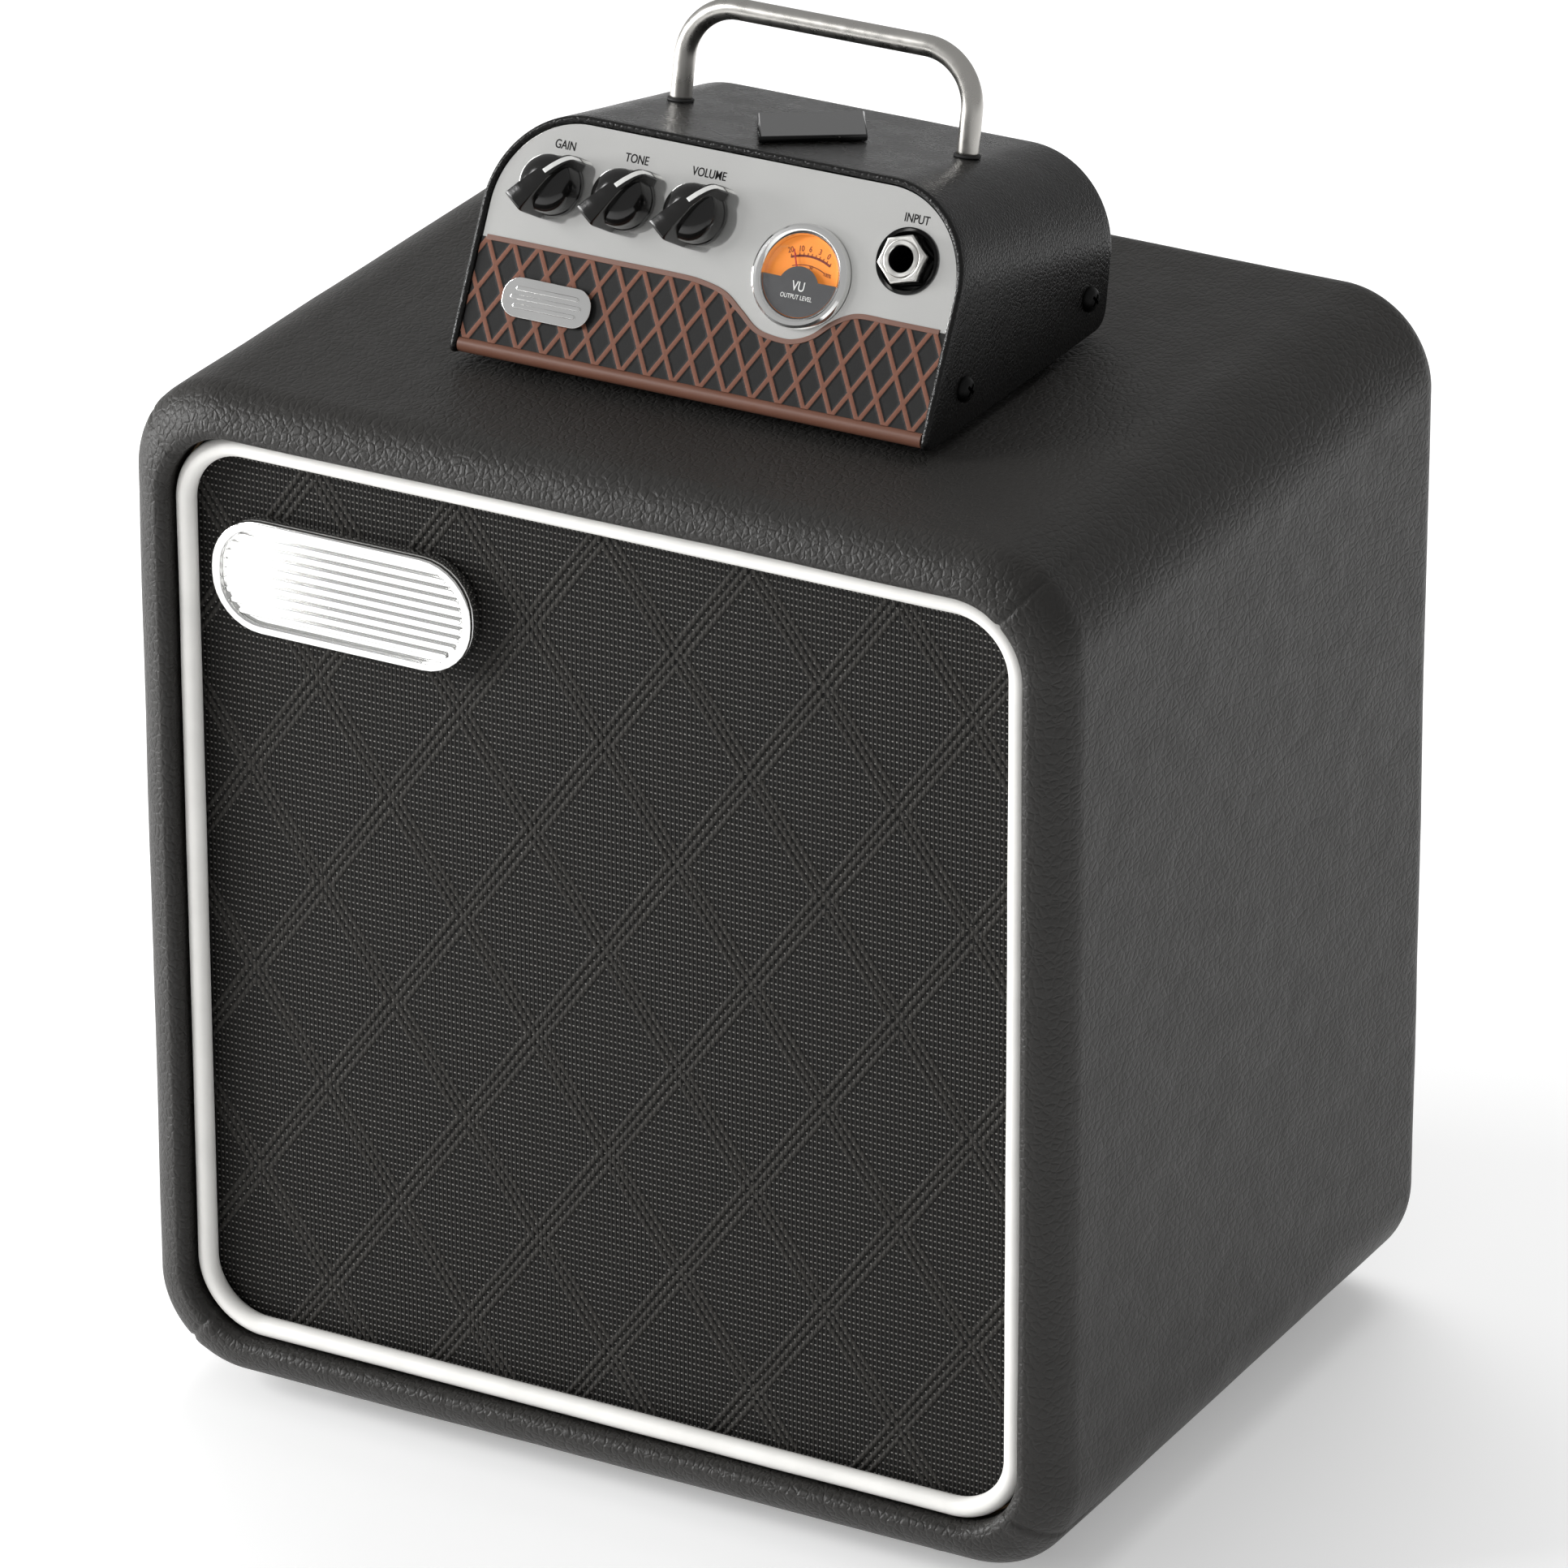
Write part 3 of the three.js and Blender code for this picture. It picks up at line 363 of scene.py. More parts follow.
def apply_modifiers(obj):
    bpy.context.view_layer.update()
    evaluated = obj.evaluated_get(bpy.context.evaluated_depsgraph_get())
    mesh = bpy.data.meshes.new_from_object(evaluated)
    obj.modifiers.clear()
    obj.data = mesh
    return obj


def bevelled(obj, width, segments=3, angle=35):
    modifier = obj.modifiers.new("bevel", "BEVEL")
    modifier.width = width * MM
    modifier.segments = segments
    modifier.limit_method = "ANGLE"
    modifier.angle_limit = math.radians(angle)
    modifier.harden_normals = False
    return apply_modifiers(obj)


def grid_faces(rows, columns, close_rows=False, close_columns=False):
    faces = []
    for row in range(rows if close_rows else rows - 1):
        for column in range(columns if close_columns else columns - 1):
            after_row, after_column = (row + 1) % rows, (column + 1) % columns
            faces.append((
                row * columns + column, row * columns + after_column,
                after_row * columns + after_column, after_row * columns + column,
            ))
    return faces


def arc(middle, radius, start, end, steps):
    """Points on an arc, angles in degrees."""
    angles = np.radians(np.linspace(start, end, steps + 1))
    return [(middle[0] + radius * math.cos(a), middle[1] + radius * math.sin(a)) for a in angles]


def lathe(name, outline, place, surface, segments=64):
    """A body turned about the local Z axis from [radius, height] points."""
    on_axis = outline[0][0] == 0
    points, rows = [], len(outline)
    for radius, height in outline:
        for step in range(segments):
            angle = 2 * math.pi * step / segments
            points.append((radius * math.cos(angle), radius * math.sin(angle), height))
    faces = grid_faces(rows, segments, not on_axis, True)
    obj = piece(name, points, faces, place, surface)
    return sharpened(obj)


def sharpened(obj, angle=32):
    """Smooth shading, broken at edges sharper than the angle."""
    made = bmesh.new()
    made.from_mesh(obj.data)
    bmesh.ops.dissolve_degenerate(made, dist=1e-7, edges=made.edges)
    for edge in made.edges:
        if len(edge.link_faces) == 2 and edge.calc_face_angle(0) > math.radians(angle):
            edge.smooth = False
    made.to_mesh(obj.data)
    made.free()
    return obj


def plate(name, outlines, thickness, place, surface, bevel=0.0, height=0.0):
    """A flat plate filled between closed outlines in local X and Y, its top face at height."""
    curve = bpy.data.curves.new(name, "CURVE")
    curve.dimensions = "2D"
    curve.fill_mode = "BOTH"
    curve.extrude = (thickness / 2 - bevel) * MM
    curve.bevel_depth = bevel * MM
    curve.bevel_resolution = 2
    curve.offset = -bevel * MM
    for outline in outlines:
        spline = curve.splines.new("POLY")
        spline.points.add(len(outline) - 1)
        for point, (x, y) in zip(spline.points, outline):
            point.co = (x * MM, y * MM, 0, 1)
        spline.use_cyclic_u = True
    source = bpy.data.objects.new(name, curve)
    bpy.context.scene.collection.objects.link(source)
    bpy.context.view_layer.update()
    evaluated = source.evaluated_get(bpy.context.evaluated_depsgraph_get())
    mesh = bpy.data.meshes.new_from_object(evaluated)
    bpy.data.objects.remove(source)
    mesh.materials.clear()
    mesh.materials.append(surface)
    mesh.transform(Matrix.Translation((0, 0, (height - thickness / 2) * MM)))
    obj = bpy.data.objects.new(name, mesh)
    bpy.context.scene.collection.objects.link(obj)
    obj.matrix_world = place
    made = bmesh.new()
    made.from_mesh(mesh)
    bmesh.ops.remove_doubles(made, verts=made.verts, dist=1e-6)
    bmesh.ops.recalc_face_normals(made, faces=made.faces)
    made.to_mesh(mesh)
    made.free()
    return obj


def circle(x, y, radius, steps=48):
    return [(x + px, y + py) for px, py in arc((0, 0), radius, 0, 360, steps)[:-1]]


def rounded_box(half_x, half_y, radius, steps=8, middle=(0, 0)):
    outline = []
    for sign_x, sign_y, start in ((1, 1, 0), (-1, 1, 90), (-1, -1, 180), (1, -1, 270)):
        corner = (middle[0] + sign_x * (half_x - radius), middle[1] + sign_y * (half_y - radius))
        outline += arc(corner, radius, start, start + 90, steps)
    return outline


def tube(name, path, radius, place, surface, sides=24, closed=False):
    """A round tube whose middle follows points that lie in one plane or bend gently."""
    path = [Vector(p) for p in path]
    count = len(path)
    points = []
    normal = None
    for index, here in enumerate(path):
        before = path[index - 1] if closed or index else here
        after = path[(index + 1) % count] if closed or index < count - 1 else here
        tangent = (after - before).normalized()
        if normal is None:
            normal = tangent.orthogonal().normalized()
        normal = (normal - normal.dot(tangent) * tangent).normalized()
        side = tangent.cross(normal)
        for step in range(sides):
            angle = 2 * math.pi * step / sides
            points.append(here + radius * (math.cos(angle) * normal + math.sin(angle) * side))
    faces = grid_faces(count, sides, closed, True)
    if not closed:
        faces += [tuple(range(sides)), tuple(range((count - 1) * sides, count * sides))]
    return piece(name, points, faces, place, surface)


def lettering(name, text, size, place, surface, width=1.0, height=0.05, thickness=0.06, bold=0.006):
    """Flat letters, centred on local X and Y, from the built-in typeface."""
    curve = bpy.data.curves.new(name, "FONT")
    curve.body = text
    curve.size = size * MM
    curve.align_x = "CENTER"
    curve.align_y = "CENTER"
    curve.extrude = thickness / 2 * MM
    curve.offset = bold * size * MM
    source = bpy.data.objects.new(name, curve)
    bpy.context.scene.collection.objects.link(source)
    bpy.context.view_layer.update()
    evaluated = source.evaluated_get(bpy.context.evaluated_depsgraph_get())
    mesh = bpy.data.meshes.new_from_object(evaluated)
    bpy.data.objects.remove(source)
    mesh.transform(Matrix.Diagonal((width, 1, 1, 1)))
    mesh.materials.clear()
    mesh.materials.append(surface)
    obj = bpy.data.objects.new(name, mesh)
    bpy.context.scene.collection.objects.link(obj)
    obj.matrix_world = place @ Matrix.Translation((0, 0, height * MM))
    return obj


def at(place, x=0.0, y=0.0, z=0.0, turn=0.0):
    """place moved by local millimetres and turned about its own Z by degrees."""
    return place @ Matrix.Translation(Vector((x, y, z)) * MM) @ Matrix.Rotation(math.radians(turn), 4, "Z")


# ------------------------------------------------------------ cabinet


def frame_radius(inset):
    return CORNER_R - (CORNER_R - OPENING_R) * inset / EDGE_R


def ring_point(spot, inset, radius):
    """X and Z at a spot round the cabinet's outline: (side, how far along, or corner angle)."""
    kind, side, along = spot
    half_x, half_z = CAB_W / 2 - inset, CAB_H / 2 - inset
    flat_x, flat_z = half_x - radius, half_z - radius
    starts = ((half_x, -flat_z), (flat_x, half_z), (-half_x, flat_z), (-flat_x, -half_z))
    ends = ((half_x, flat_z), (-flat_x, half_z), (-half_x, -flat_z), (flat_x, -half_z))
    if kind == "flat":
        start, end = starts[side], ends[side]
        return (start[0] + (end[0] - start[0]) * along, start[1] + (end[1] - start[1]) * along)
    signs = ((1, 1), (-1, 1), (-1, -1), (1, -1))[side]
    angle = math.radians(90 * side + 90 * along)
    return (signs[0] * flat_x + radius * math.cos(angle), signs[1] * flat_z + radius * math.sin(angle))


def ring_spots(flat_steps, corner_steps):
    spots = []
    for side in range(4):
        spots += [("flat", side, step / flat_steps) for step in range(flat_steps)]
        spots += [("corner", side, step / corner_steps) for step in range(corner_steps)]
    return spots


def ring_sweep(name, section, radius_of, surface, flat_steps=60, corner_steps=24, closed=True):
    """A section of (inset, depth) points carried round the cabinet's outline."""
    spots = ring_spots(flat_steps, corner_steps)
    points = []
    for spot in spots:
        for inset, depth in section:
            x, z = ring_point(spot, inset, radius_of(inset))
            points.append((x, depth - CAB_D / 2, z))
    faces = grid_faces(len(spots), len(section), True, closed)
    return piece(name, points, faces, CABINET, surface)


def ripple(point, size):
    return soft_noise.noise(Vector(point) / size)


def pushed(obj, height, chosen=None):
    """Moves each vertex out along its normal by height(place), both in millimetres."""
    mesh = obj.data
    count = len(mesh.vertices)
    places, normals = np.empty(3 * count), np.empty(3 * count)
    mesh.vertices.foreach_get("co", places)
    mesh.vertex_normals.foreach_get("vector", normals)
    places, normals = places.reshape(-1, 3), normals.reshape(-1, 3)
    for index in range(count):
        if chosen is None or chosen(index):
            places[index] += normals[index] * height(Vector(places[index]) / MM) * MM
    mesh.vertices.foreach_set("co", places.ravel())
    mesh.update()
    return obj


def front_turn(inset, seat, steps):
    """The skin's way out of an opening, over the frame and onto the side."""
    lip = arc((EDGE_R - LIP_R, LIP_R + 0.26), LIP_R - inset, 0, -80, max(4, steps // 3))
    turn = arc((EDGE_R, EDGE_R), EDGE_R - inset, 259, 180, steps)
    return [(EDGE_R - inset, seat)] + lip + turn


def groove(distance, width, depth):
    return -depth * math.exp(-((distance / width) ** 2))


def make_covering():
    steps = 26
    front = front_turn(0, 10.1, steps)
    back = [(i, CAB_D - d) for i, d in reversed(front_turn(0, 15, steps))]
    side = [(0, EDGE_R + (CAB_D - 2 * EDGE_R) * k / 40) for k in range(1, 40)]
    outer = front + side + back
    inset_front = front_turn(SKIN_T, 10.1, 6)
    inset_back = [(i, CAB_D - d) for i, d in reversed(front_turn(SKIN_T, 15, 6))]
    section = outer + list(reversed(inset_front + inset_back))
    obj = ring_sweep("cabinet_covering", section, frame_radius, VINYL, 70, 56)
    count, size = len(outer), len(section)

    def height(place):
        return 0.25 * ripple(place, 42) + 0.05 * ripple(place, 11) + corner_folds(place)

    pushed(obj, height, lambda index: 1 < index % size < count - 2)
    return finish_piece(obj, "cabinet", "vinyl_covering")


def corner_folds(place):
    """Where the sheet is drawn round each front corner and its spare is tucked into a fold."""
    depth = place.y + CAB_D / 2
    if depth > 34:
        return 0.0
    height = 0.0
    for sign_x, sign_z, lean in ((1, 1, 0.12), (-1, 1, -0.2), (-1, -1, 0.1), (1, -1, -0.3)):
        dx = sign_x * place.x - (CAB_W / 2 - CORNER_R)
        dz = sign_z * place.z - (CAB_H / 2 - CORNER_R)
        if dx < -10 or dz < -10:
            continue
        reach = math.hypot(dx, dz)
        angle = math.atan2(dz, dx) - math.pi / 4 - lean
        off_seam = reach * angle
        fade = min(1, max(0, (34 - depth) / 12))
        height += fade * groove(off_seam, 0.6, 0.5)
        height += fade * 0.15 * math.exp(-(((off_seam - 2.2) / 1.8) ** 2))
    return height


def make_piping():
    section = arc((PIPING_INSET, PIPING_DEPTH), PIPING_R, 360, 0, 28)[:-1]
    obj = ring_sweep("front_piping", section, lambda i: PIPING_CORNER_R + PIPING_INSET - i, PIPING, 60, 40)
    pushed(obj, lambda place: 0.1 * ripple(place, 26))
    finish_piece(obj, "cabinet", "grille_piping")


CLOTH_INSET = 12.4


def make_cloth():
    half_x, half_z = CAB_W / 2 - CLOTH_INSET, CAB_H / 2 - CLOTH_INSET
    columns, rows = 560, 590
    u = np.linspace(-1, 1, columns)
    z = np.linspace(-half_z, half_z, rows)
    into_corner = np.clip(np.abs(z) - (half_z - OPENING_R), 0, OPENING_R)
    half = half_x - OPENING_R + np.sqrt(np.maximum(OPENING_R**2 - into_corner**2, 1))
    x = np.outer(half, u)
    z = np.repeat(z[:, None], columns, 1)
    height, sunk = np.zeros_like(x), np.zeros_like(x)
    for sign in (1, -1):
        phase = (x - STITCH_AT[0]) / STITCH_X + sign * (z - STITCH_AT[1]) / STITCH_Z
        off = (phase - 2 * np.round(phase / 2)) * STITCH_STEEP
        for line in (-STITCH_APART, 0, STITCH_APART):
            rise = 1 - ((off - line) / STITCH_HALF) ** 2
            height = np.maximum(height, 0.4 * np.sqrt(np.maximum(rise, 0)))
        sunk -= 0.16 * np.exp(-((off / 3.2) ** 2))
    height += sunk + 0.25 * np.cos(x / 47) * np.cos(z / 53)
    y = np.full_like(x, CLOTH_DEPTH - CAB_D / 2 + 0.35) - height
    front = np.stack([x, y, z], -1).reshape(-1, 3)
    faces = grid_faces(rows, columns)
    obj = piece("grille_cloth_front", front, faces, CABINET, CLOTH, weld=False)
    finish_piece(obj, "cabinet", "grille_cloth")


BADGE_AT = (-71, 88)


def make_cabinet_badge():
    """A long badge with a raised rim round fine level ribs."""
    upright = Matrix.Rotation(math.pi / 2, 4, "X")
    place = at(CABINET @ upright, BADGE_AT[0], BADGE_AT[1], CAB_D / 2 - CLOTH_DEPTH)
    half_x, half_y = 37, 15
    base = plate("badge_base", [rounded_box(half_x, half_y, 14)], 3.4, place, CHROME, 0.5, 3.6)
    finish_piece(base, "cabinet", "cabinet_badge")
    rim_outlines = [rounded_box(half_x, half_y, 14), rounded_box(half_x - 2.4, half_y - 2.4, 11.6)]
    rim = plate("badge_rim", rim_outlines, 1.6, place, CHROME, 0.5, 5.0)
    finish_piece(rim, "cabinet")
    for index in range(9):
        y = -10 + 2.5 * index
        spare = math.sqrt(max(0, 11.6**2 - max(0, abs(y) - 1) ** 2))
        length = half_x - 14 + spare - 0.6
        outline = rounded_box(length, 0.75, 0.7, 4, (0, y))
        rib = plate(f"badge_rib_{index}", [outline], 1.0, place, CHROME, 0.35, 4.4)
        finish_piece(rib, "cabinet")


def make_foot(name, body, node, radius, height, place):
    outline = [
        (0, 0), (radius - 2.5, 0), (radius - 1.2, 0.4), (radius - 0.4, 1.4), (radius, 3 * height / 7),
        (radius - 0.4, height - 1), (radius - 0.8, height), (0, height),
    ]
    obj = lathe(name, outline, place, RUBBER, 48)
    return finish_piece(obj, body, node)


def make_cabinet_feet():
    for side, x in (("left", -88), ("right", 88)):
        for end, y in (("front", -75), ("back", 75)):
            node = f"cabinet_foot_{end}_{side}"
            place = Matrix.Translation(Vector((x, y, 0)) * MM)
            make_foot(f"{node}_pad", "cabinet", node, 11, 6.7, place)


# ------------------------------------------------------------ back of the cabinet


def screw(name, body, place, radius, height, surface, replaced=()):
    """A pan-head screw with a cross recess, its head rising along local Z."""
    outline = [(0, -1.2), (radius - 0.3, -1.2), (radius - 0.3, 0), (radius, 0.15)]
    for angle in range(10, 91, 16):
        a = math.radians(angle)
        outline.append((radius * math.cos(a) ** 0.6, 0.2 + (height - 0.2) * math.sin(a)))
    outline[-1] = (0, height)
    head = lathe(name, outline, place, surface, 40)
    arm, half = radius * 0.56, radius * 0.13
    cross = [
        (arm, half), (half, half), (half, arm), (-half, arm), (-half, half), (-arm, half),
        (-arm, -half), (-half, -half), (-half, -arm), (half, -arm), (half, -half), (arm, -half),
    ]
    cutter = plate("cutter", [cross], height, place, surface, 0, height * 1.35)
    cut_with(head, cutter)
    return finish_piece(head, body, replaced)


def cut_with(obj, cutter):
    bpy.context.view_layer.update()
    modifier = obj.modifiers.new("cut", "BOOLEAN")
    modifier.object = cutter
    modifier.operation = "DIFFERENCE"
    modifier.solver = "EXACT"
    apply_modifiers(obj)
    bpy.data.objects.remove(cutter)
    return sharpened(obj)


def make_back():
    upright = Matrix.Rotation(-math.pi / 2, 4, "X") @ Matrix.Rotation(math.pi, 4, "Z")
    plane = at(CABINET @ upright, 0, 0, CAB_D / 2 - 4)
    half_x, half_z = CAB_W / 2 - 12.5, CAB_H / 2 - 12.5
    for name, node, low, high in (
        ("back_board_upper", "upper_back_panel", half_z - 72, half_z),
        ("back_board_lower", "lower_back_panel", -half_z, -half_z + 88),
    ):
        top = high == half_z
        outline = []
        for sign_x, is_top, start in ((1, True, 0), (-1, True, 90), (-1, False, 180), (1, False, 270)):
            radius = OPENING_R if is_top == top else 1
            middle = (sign_x * (half_x - radius), (high - radius) if is_top else (low + radius))
            outline += arc(middle, radius, start, start + 90, 10)
        outlines = [outline]
        if not top:
            outlines.append(circle(0, -half_z + 44, 16))
        board = plate(name, outlines, 9, plane, VINYL, 1.0, 0)
        finish_piece(board, "cabinet", node)
        for index, x in enumerate((-104, 0, 104)):
            y = high - 12 if top else low + 12
            place = at(plane, x, y, 0, 25 * index)
            screw(f"{name}_screw_{index}", "cabinet", place, 3.6, 2.0, BLACK_METAL)
    socket_z = -half_z + 44
    face = plate(
        "socket_plate", [rounded_box(26, 26, 5, 8, (0, socket_z)), circle(0, socket_z, 5)],
        1.2, plane, BLACK_METAL, 0.25, 1.5,
    )
    finish_piece(face, "cabinet", "jack_plate")
    place = at(plane, 0, socket_z)
    outline = [
        (0, -27.5), (8.8, -27.5), (8.8, -0.5), (4.6, -0.5), (4.6, 3.2), (4.3, 3.4), (3.5, 3.4),
        (3.3, 3.1), (3.3, -25), (0, -25),
    ]
    finish_piece(lathe("cabinet_socket_body", outline, place, RUBBER), "cabinet", "cabinet_jack")
    nut = plate("cabinet_socket_nut", [hexagon(6.6), circle(0, 0, 4.8)], 1.6, place, CHROME, 0.3, 3.1)
    finish_piece(nut, "cabinet")
    for index, (x, y) in enumerate(((-20, -20), (20, -20), (-20, 20), (20, 20))):
        spot = at(plane, x, socket_z + y, 1.5, 31 * index)
        screw(f"socket_plate_screw_{index}", "cabinet", spot, 2.6, 1.4, BLACK_METAL)


def hexagon(radius, turn=0.0, middle=(0, 0)):
    angles = [math.radians(turn + 60 * k) for k in range(6)]
    return [(middle[0] + radius * math.cos(a), middle[1] + radius * math.sin(a)) for a in angles]


# ------------------------------------------------------------ speaker

PAPER = leather("cone_paper", (0.03, 0.028, 0.026), 0.8, 3.0, 0.12)
STAMPED = metal("stamped_steel", (0.035, 0.035, 0.036), 0.42, (1, 1, 1), 1.4, 0.03)
FERRITE = plastic("ferrite", (0.04, 0.04, 0.043), 0.75)
SPIDER = leather("spider_cloth", (0.32, 0.2, 0.08), 0.85, 0.7, 0.1)
COPPER = metal("copper_wire", (0.75, 0.35, 0.18), 0.3, (1, 8, 1), 0.3, 0.02)


def make_speaker():
    low, high = cad_corners("speaker_basket")
    middle = (low + high) / 2
    place = frame_matrix((middle.x, low.y, middle.z), X_AXIS, Vector((0, 0, -1)), Vector((0, 1, 0)))
    shell = [
        (102, 0.3), (101.7, 0), (86.6, 0), (85.8, 12), (50.8, 38.2), (44.4, 38.2), (44.4, 41),
        (14.6, 41), (14.6, 46), (46, 46), (46, 39.6), (51.5, 39.6), (87.4, 12.6), (88.4, 1.6),
        (101.7, 1.6), (102, 1.3),
    ]
    basket = lathe("basket_frame", shell + shell[:1], place, STAMPED, 120)
    for leg in range(6):
        start, end = 60 * leg + 12, 60 * leg + 48
        sector = arc((0, 0), 81.5, start, end, 20) + arc((0, 0), 56.5, end, start, 14)
        cut_with(basket, plate("cutter", [sector], 40, place, STAMPED, 0, 44))
    finish_piece(basket, "cabinet", "speaker_basket")
    for leg in range(6):
        spot = at(at(place, 0, 0, 0, 60 * leg), 95, 0, 1.6)
        screw(f"basket_screw_{leg}", "cabinet", spot, 3.4, 1.9, NICKEL)

    magnet = [(22, 46.3), (41, 46.3), (42, 47.3), (42, 59), (41, 60), (22, 60), (22, 46.3)]
    finish_piece(lathe("magnet_ring", magnet, place, FERRITE, 96), "cabinet", "speaker_magnet")
    yoke = [
        (0, 42), (12.2, 42), (12.5, 42.3), (12.5, 60.3), (39, 60.3), (40, 61.3), (39.4, 65.3), (38.4, 66),
        (7.4, 66), (6.4, 65), (6.4, 62.4), (0, 62.4),
    ]
    finish_piece(lathe("yoke_plate", yoke, place, NICKEL, 96), "cabinet", "speaker_yoke")
    roll = [(88.5, -0.6), (87.6, -0.3)] + arc((83.3, -1), 3.6, 0, -180, 14) + [(78.6, -0.3), (78.6, -0.9)]
    roll += arc((83.3, -1), 4.15, -180, 0, 14) + [(88.5, -0.6)]
    finish_piece(lathe("surround_roll", roll, place, RUBBER, 96), "cabinet", "speaker_surround")

    cone = []
    for step in range(40):
        share = step / 39
        radius = 14 + (77.8 - 14) * share
        depth = 31 * (1 - share) + 2.2 * math.sin(math.pi * share) + 0.25 * math.sin(70 * share)
        cone.append((radius, depth))
    back = [(radius, depth + 0.85) for radius, depth in reversed(cone)]
    shell = lathe("cone_shell", cone + back + cone[:1], place, PAPER, 96)
    finish_piece(shell, "cone", "speaker_cone")
    dome = [(20 * math.sin(a), 29.2 - 10 * math.cos(a) ** 0.9) for a in np.linspace(0, math.pi / 2, 16)]
    dome[0] = (0, dome[0][1])
    finish_piece(lathe("dust_cap_dome", dome, place, PAPER, 64), "cone", "speaker_dust_cap")
    waves = [(14.1 + 36 * k / 72, 36.7 + 0.6 * math.cos(2 * math.pi * k / 12)) for k in range(73)]
    under = [(radius, depth + 0.45) for radius, depth in reversed(waves)]
    spider = lathe("spider_rings", waves + under + waves[:1], place, SPIDER, 96)
    finish_piece(spider, "cabinet", "speaker_spider")
    turns = [(13.55 + 0.04 * (k % 2), 29 + 18 * k / 36) for k in range(37)]
    coil = [(13.05, 29)] + turns + [(13.05, 47), (13.05, 29)]
    finish_piece(lathe("coil_former", coil, place, COPPER, 64), "cone", "speaker_voice_coil")


# ------------------------------------------------------------ head casing

FRONT_BOTTOM_S = (SHELL_LOW.z - LIP.z) / UP_PANEL.z
OFF_PANEL_LINE = OUT_OF_PANEL.dot(OFF_TOP)
UP_PANEL_LINE = UP_PANEL.dot(OFF_TOP)


def panel_plane(s, p=0.0):
    """A place on the head's middle plane, s up the panel and p out of it."""
    return LIP + s * UP_PANEL + p * OUT_OF_PANEL


REAR_FOOT = Vector((HEAD_X, LIP.y + 93.3, SHELL_LOW.z))


def meet(start, direction, origin, normal):
    """Where a line meets a plane."""
    return start + direction * ((origin - start).dot(normal) / direction.dot(normal))


def quad_curve(first, corner, last, steps):
    points = []
    for step in range(steps + 1):
        t = step / steps
        points.append(first * (1 - t) ** 2 + corner * 2 * t * (1 - t) + last * t * t)
    return points


def casing_lines():
    """Front and rear ends of lines that run back along the casing, from left foot to right."""
    half = HEAD_W / 2
    bend_front = meet(FRONT_TOP - OFF_TOP * BEND_R, DOWN_TOP, LIP, OUT_OF_PANEL)
    bend_rear = meet(FRONT_TOP - OFF_TOP * BEND_R, DOWN_TOP, REAR_FOOT, OUT_OF_REAR)
    level = Vector((0, 1, 0))
    front_corner, rear_corner = panel_plane(FRONT_BOTTOM_S), REAR_FOOT
    front_wall = quad_curve(front_corner + level * 4, front_corner, front_corner + UP_PANEL * 4, 6)
    rear_wall = quad_curve(rear_corner - level * 5, rear_corner, rear_corner + UP_REAR * 5, 6)
    for step in range(1, 15):
        front_wall.append(front_wall[6].lerp(bend_front, step / 15))
        rear_wall.append(rear_wall[6].lerp(bend_rear, step / 15))
    lines = []
    wall_inward = Vector((1, 0, 0))
    for front, rear in zip(front_wall, rear_wall):
        lines.append((front - X_AXIS * half, rear - X_AXIS * half, wall_inward))
    for side in (-1, 1):
        steps = 22
        for step in range(steps + 1):
            angle = math.radians(90 * step / steps)
            if side == 1:
                angle = math.pi / 2 - angle
            x = side * (half - BEND_R + BEND_R * math.cos(angle))
            start = FRONT_TOP + OFF_TOP * (BEND_R * math.sin(angle) - BEND_R)
            front = meet(start, DOWN_TOP, LIP, OUT_OF_PANEL)
            rear = meet(start, DOWN_TOP, REAR_FOOT, OUT_OF_REAR)
            inward = -(side * math.cos(angle) * X_AXIS + math.sin(angle) * OFF_TOP)
            lines.append((front + X_AXIS * x, rear + X_AXIS * x, inward))
        if side == -1:
            last_left, steps_across = lines[-1], 30
            for step in range(1, steps_across):
                shift = X_AXIS * (2 * (half - BEND_R) * step / steps_across)
                lines.append((last_left[0] + shift, last_left[1] + shift, -OFF_TOP))
    for front, rear in reversed(list(zip(front_wall, rear_wall))):
        lines.append((front + X_AXIS * half, rear + X_AXIS * half, -wall_inward))
    return lines


def make_casing():
    points = []
    lines = casing_lines()
    lip = SHELL_T / 2
    for front, rear, inward in lines:
        along = (rear - front).normalized()
        length = (rear - front).length
        loop = []
        for step in range(9):
            angle = math.pi * step / 8
            loop.append(front + inward * lip * (1 + math.cos(angle)) + along * lip * (1 - math.sin(angle)))
        for step in range(1, 30):
            here = front + along * (lip + (length - 2 * lip) * step / 30)
            loop.append(here)
        for step in range(9):
            angle = math.pi * step / 8
            loop.append(rear + inward * lip * (1 - math.cos(angle)) - along * lip * (1 - math.sin(angle)))
        for step in range(1, 8):
            loop.append(rear + inward * SHELL_T - along * (lip + (length - 2 * lip) * step / 8))
        points += loop
    size = len(points) // len(lines)
    faces = grid_faces(len(lines), size, False, True)
    faces += [tuple(range(size)), tuple(range((len(lines) - 1) * size, len(lines) * size))]
    obj = piece("head_casing", points, faces, Matrix.Identity(4), HEAD_VINYL)
    sharpened(obj, 60)
    pushed(obj, lambda place: 0.06 * ripple(place, 17))
    finish_piece(obj, "head", "head_shell")


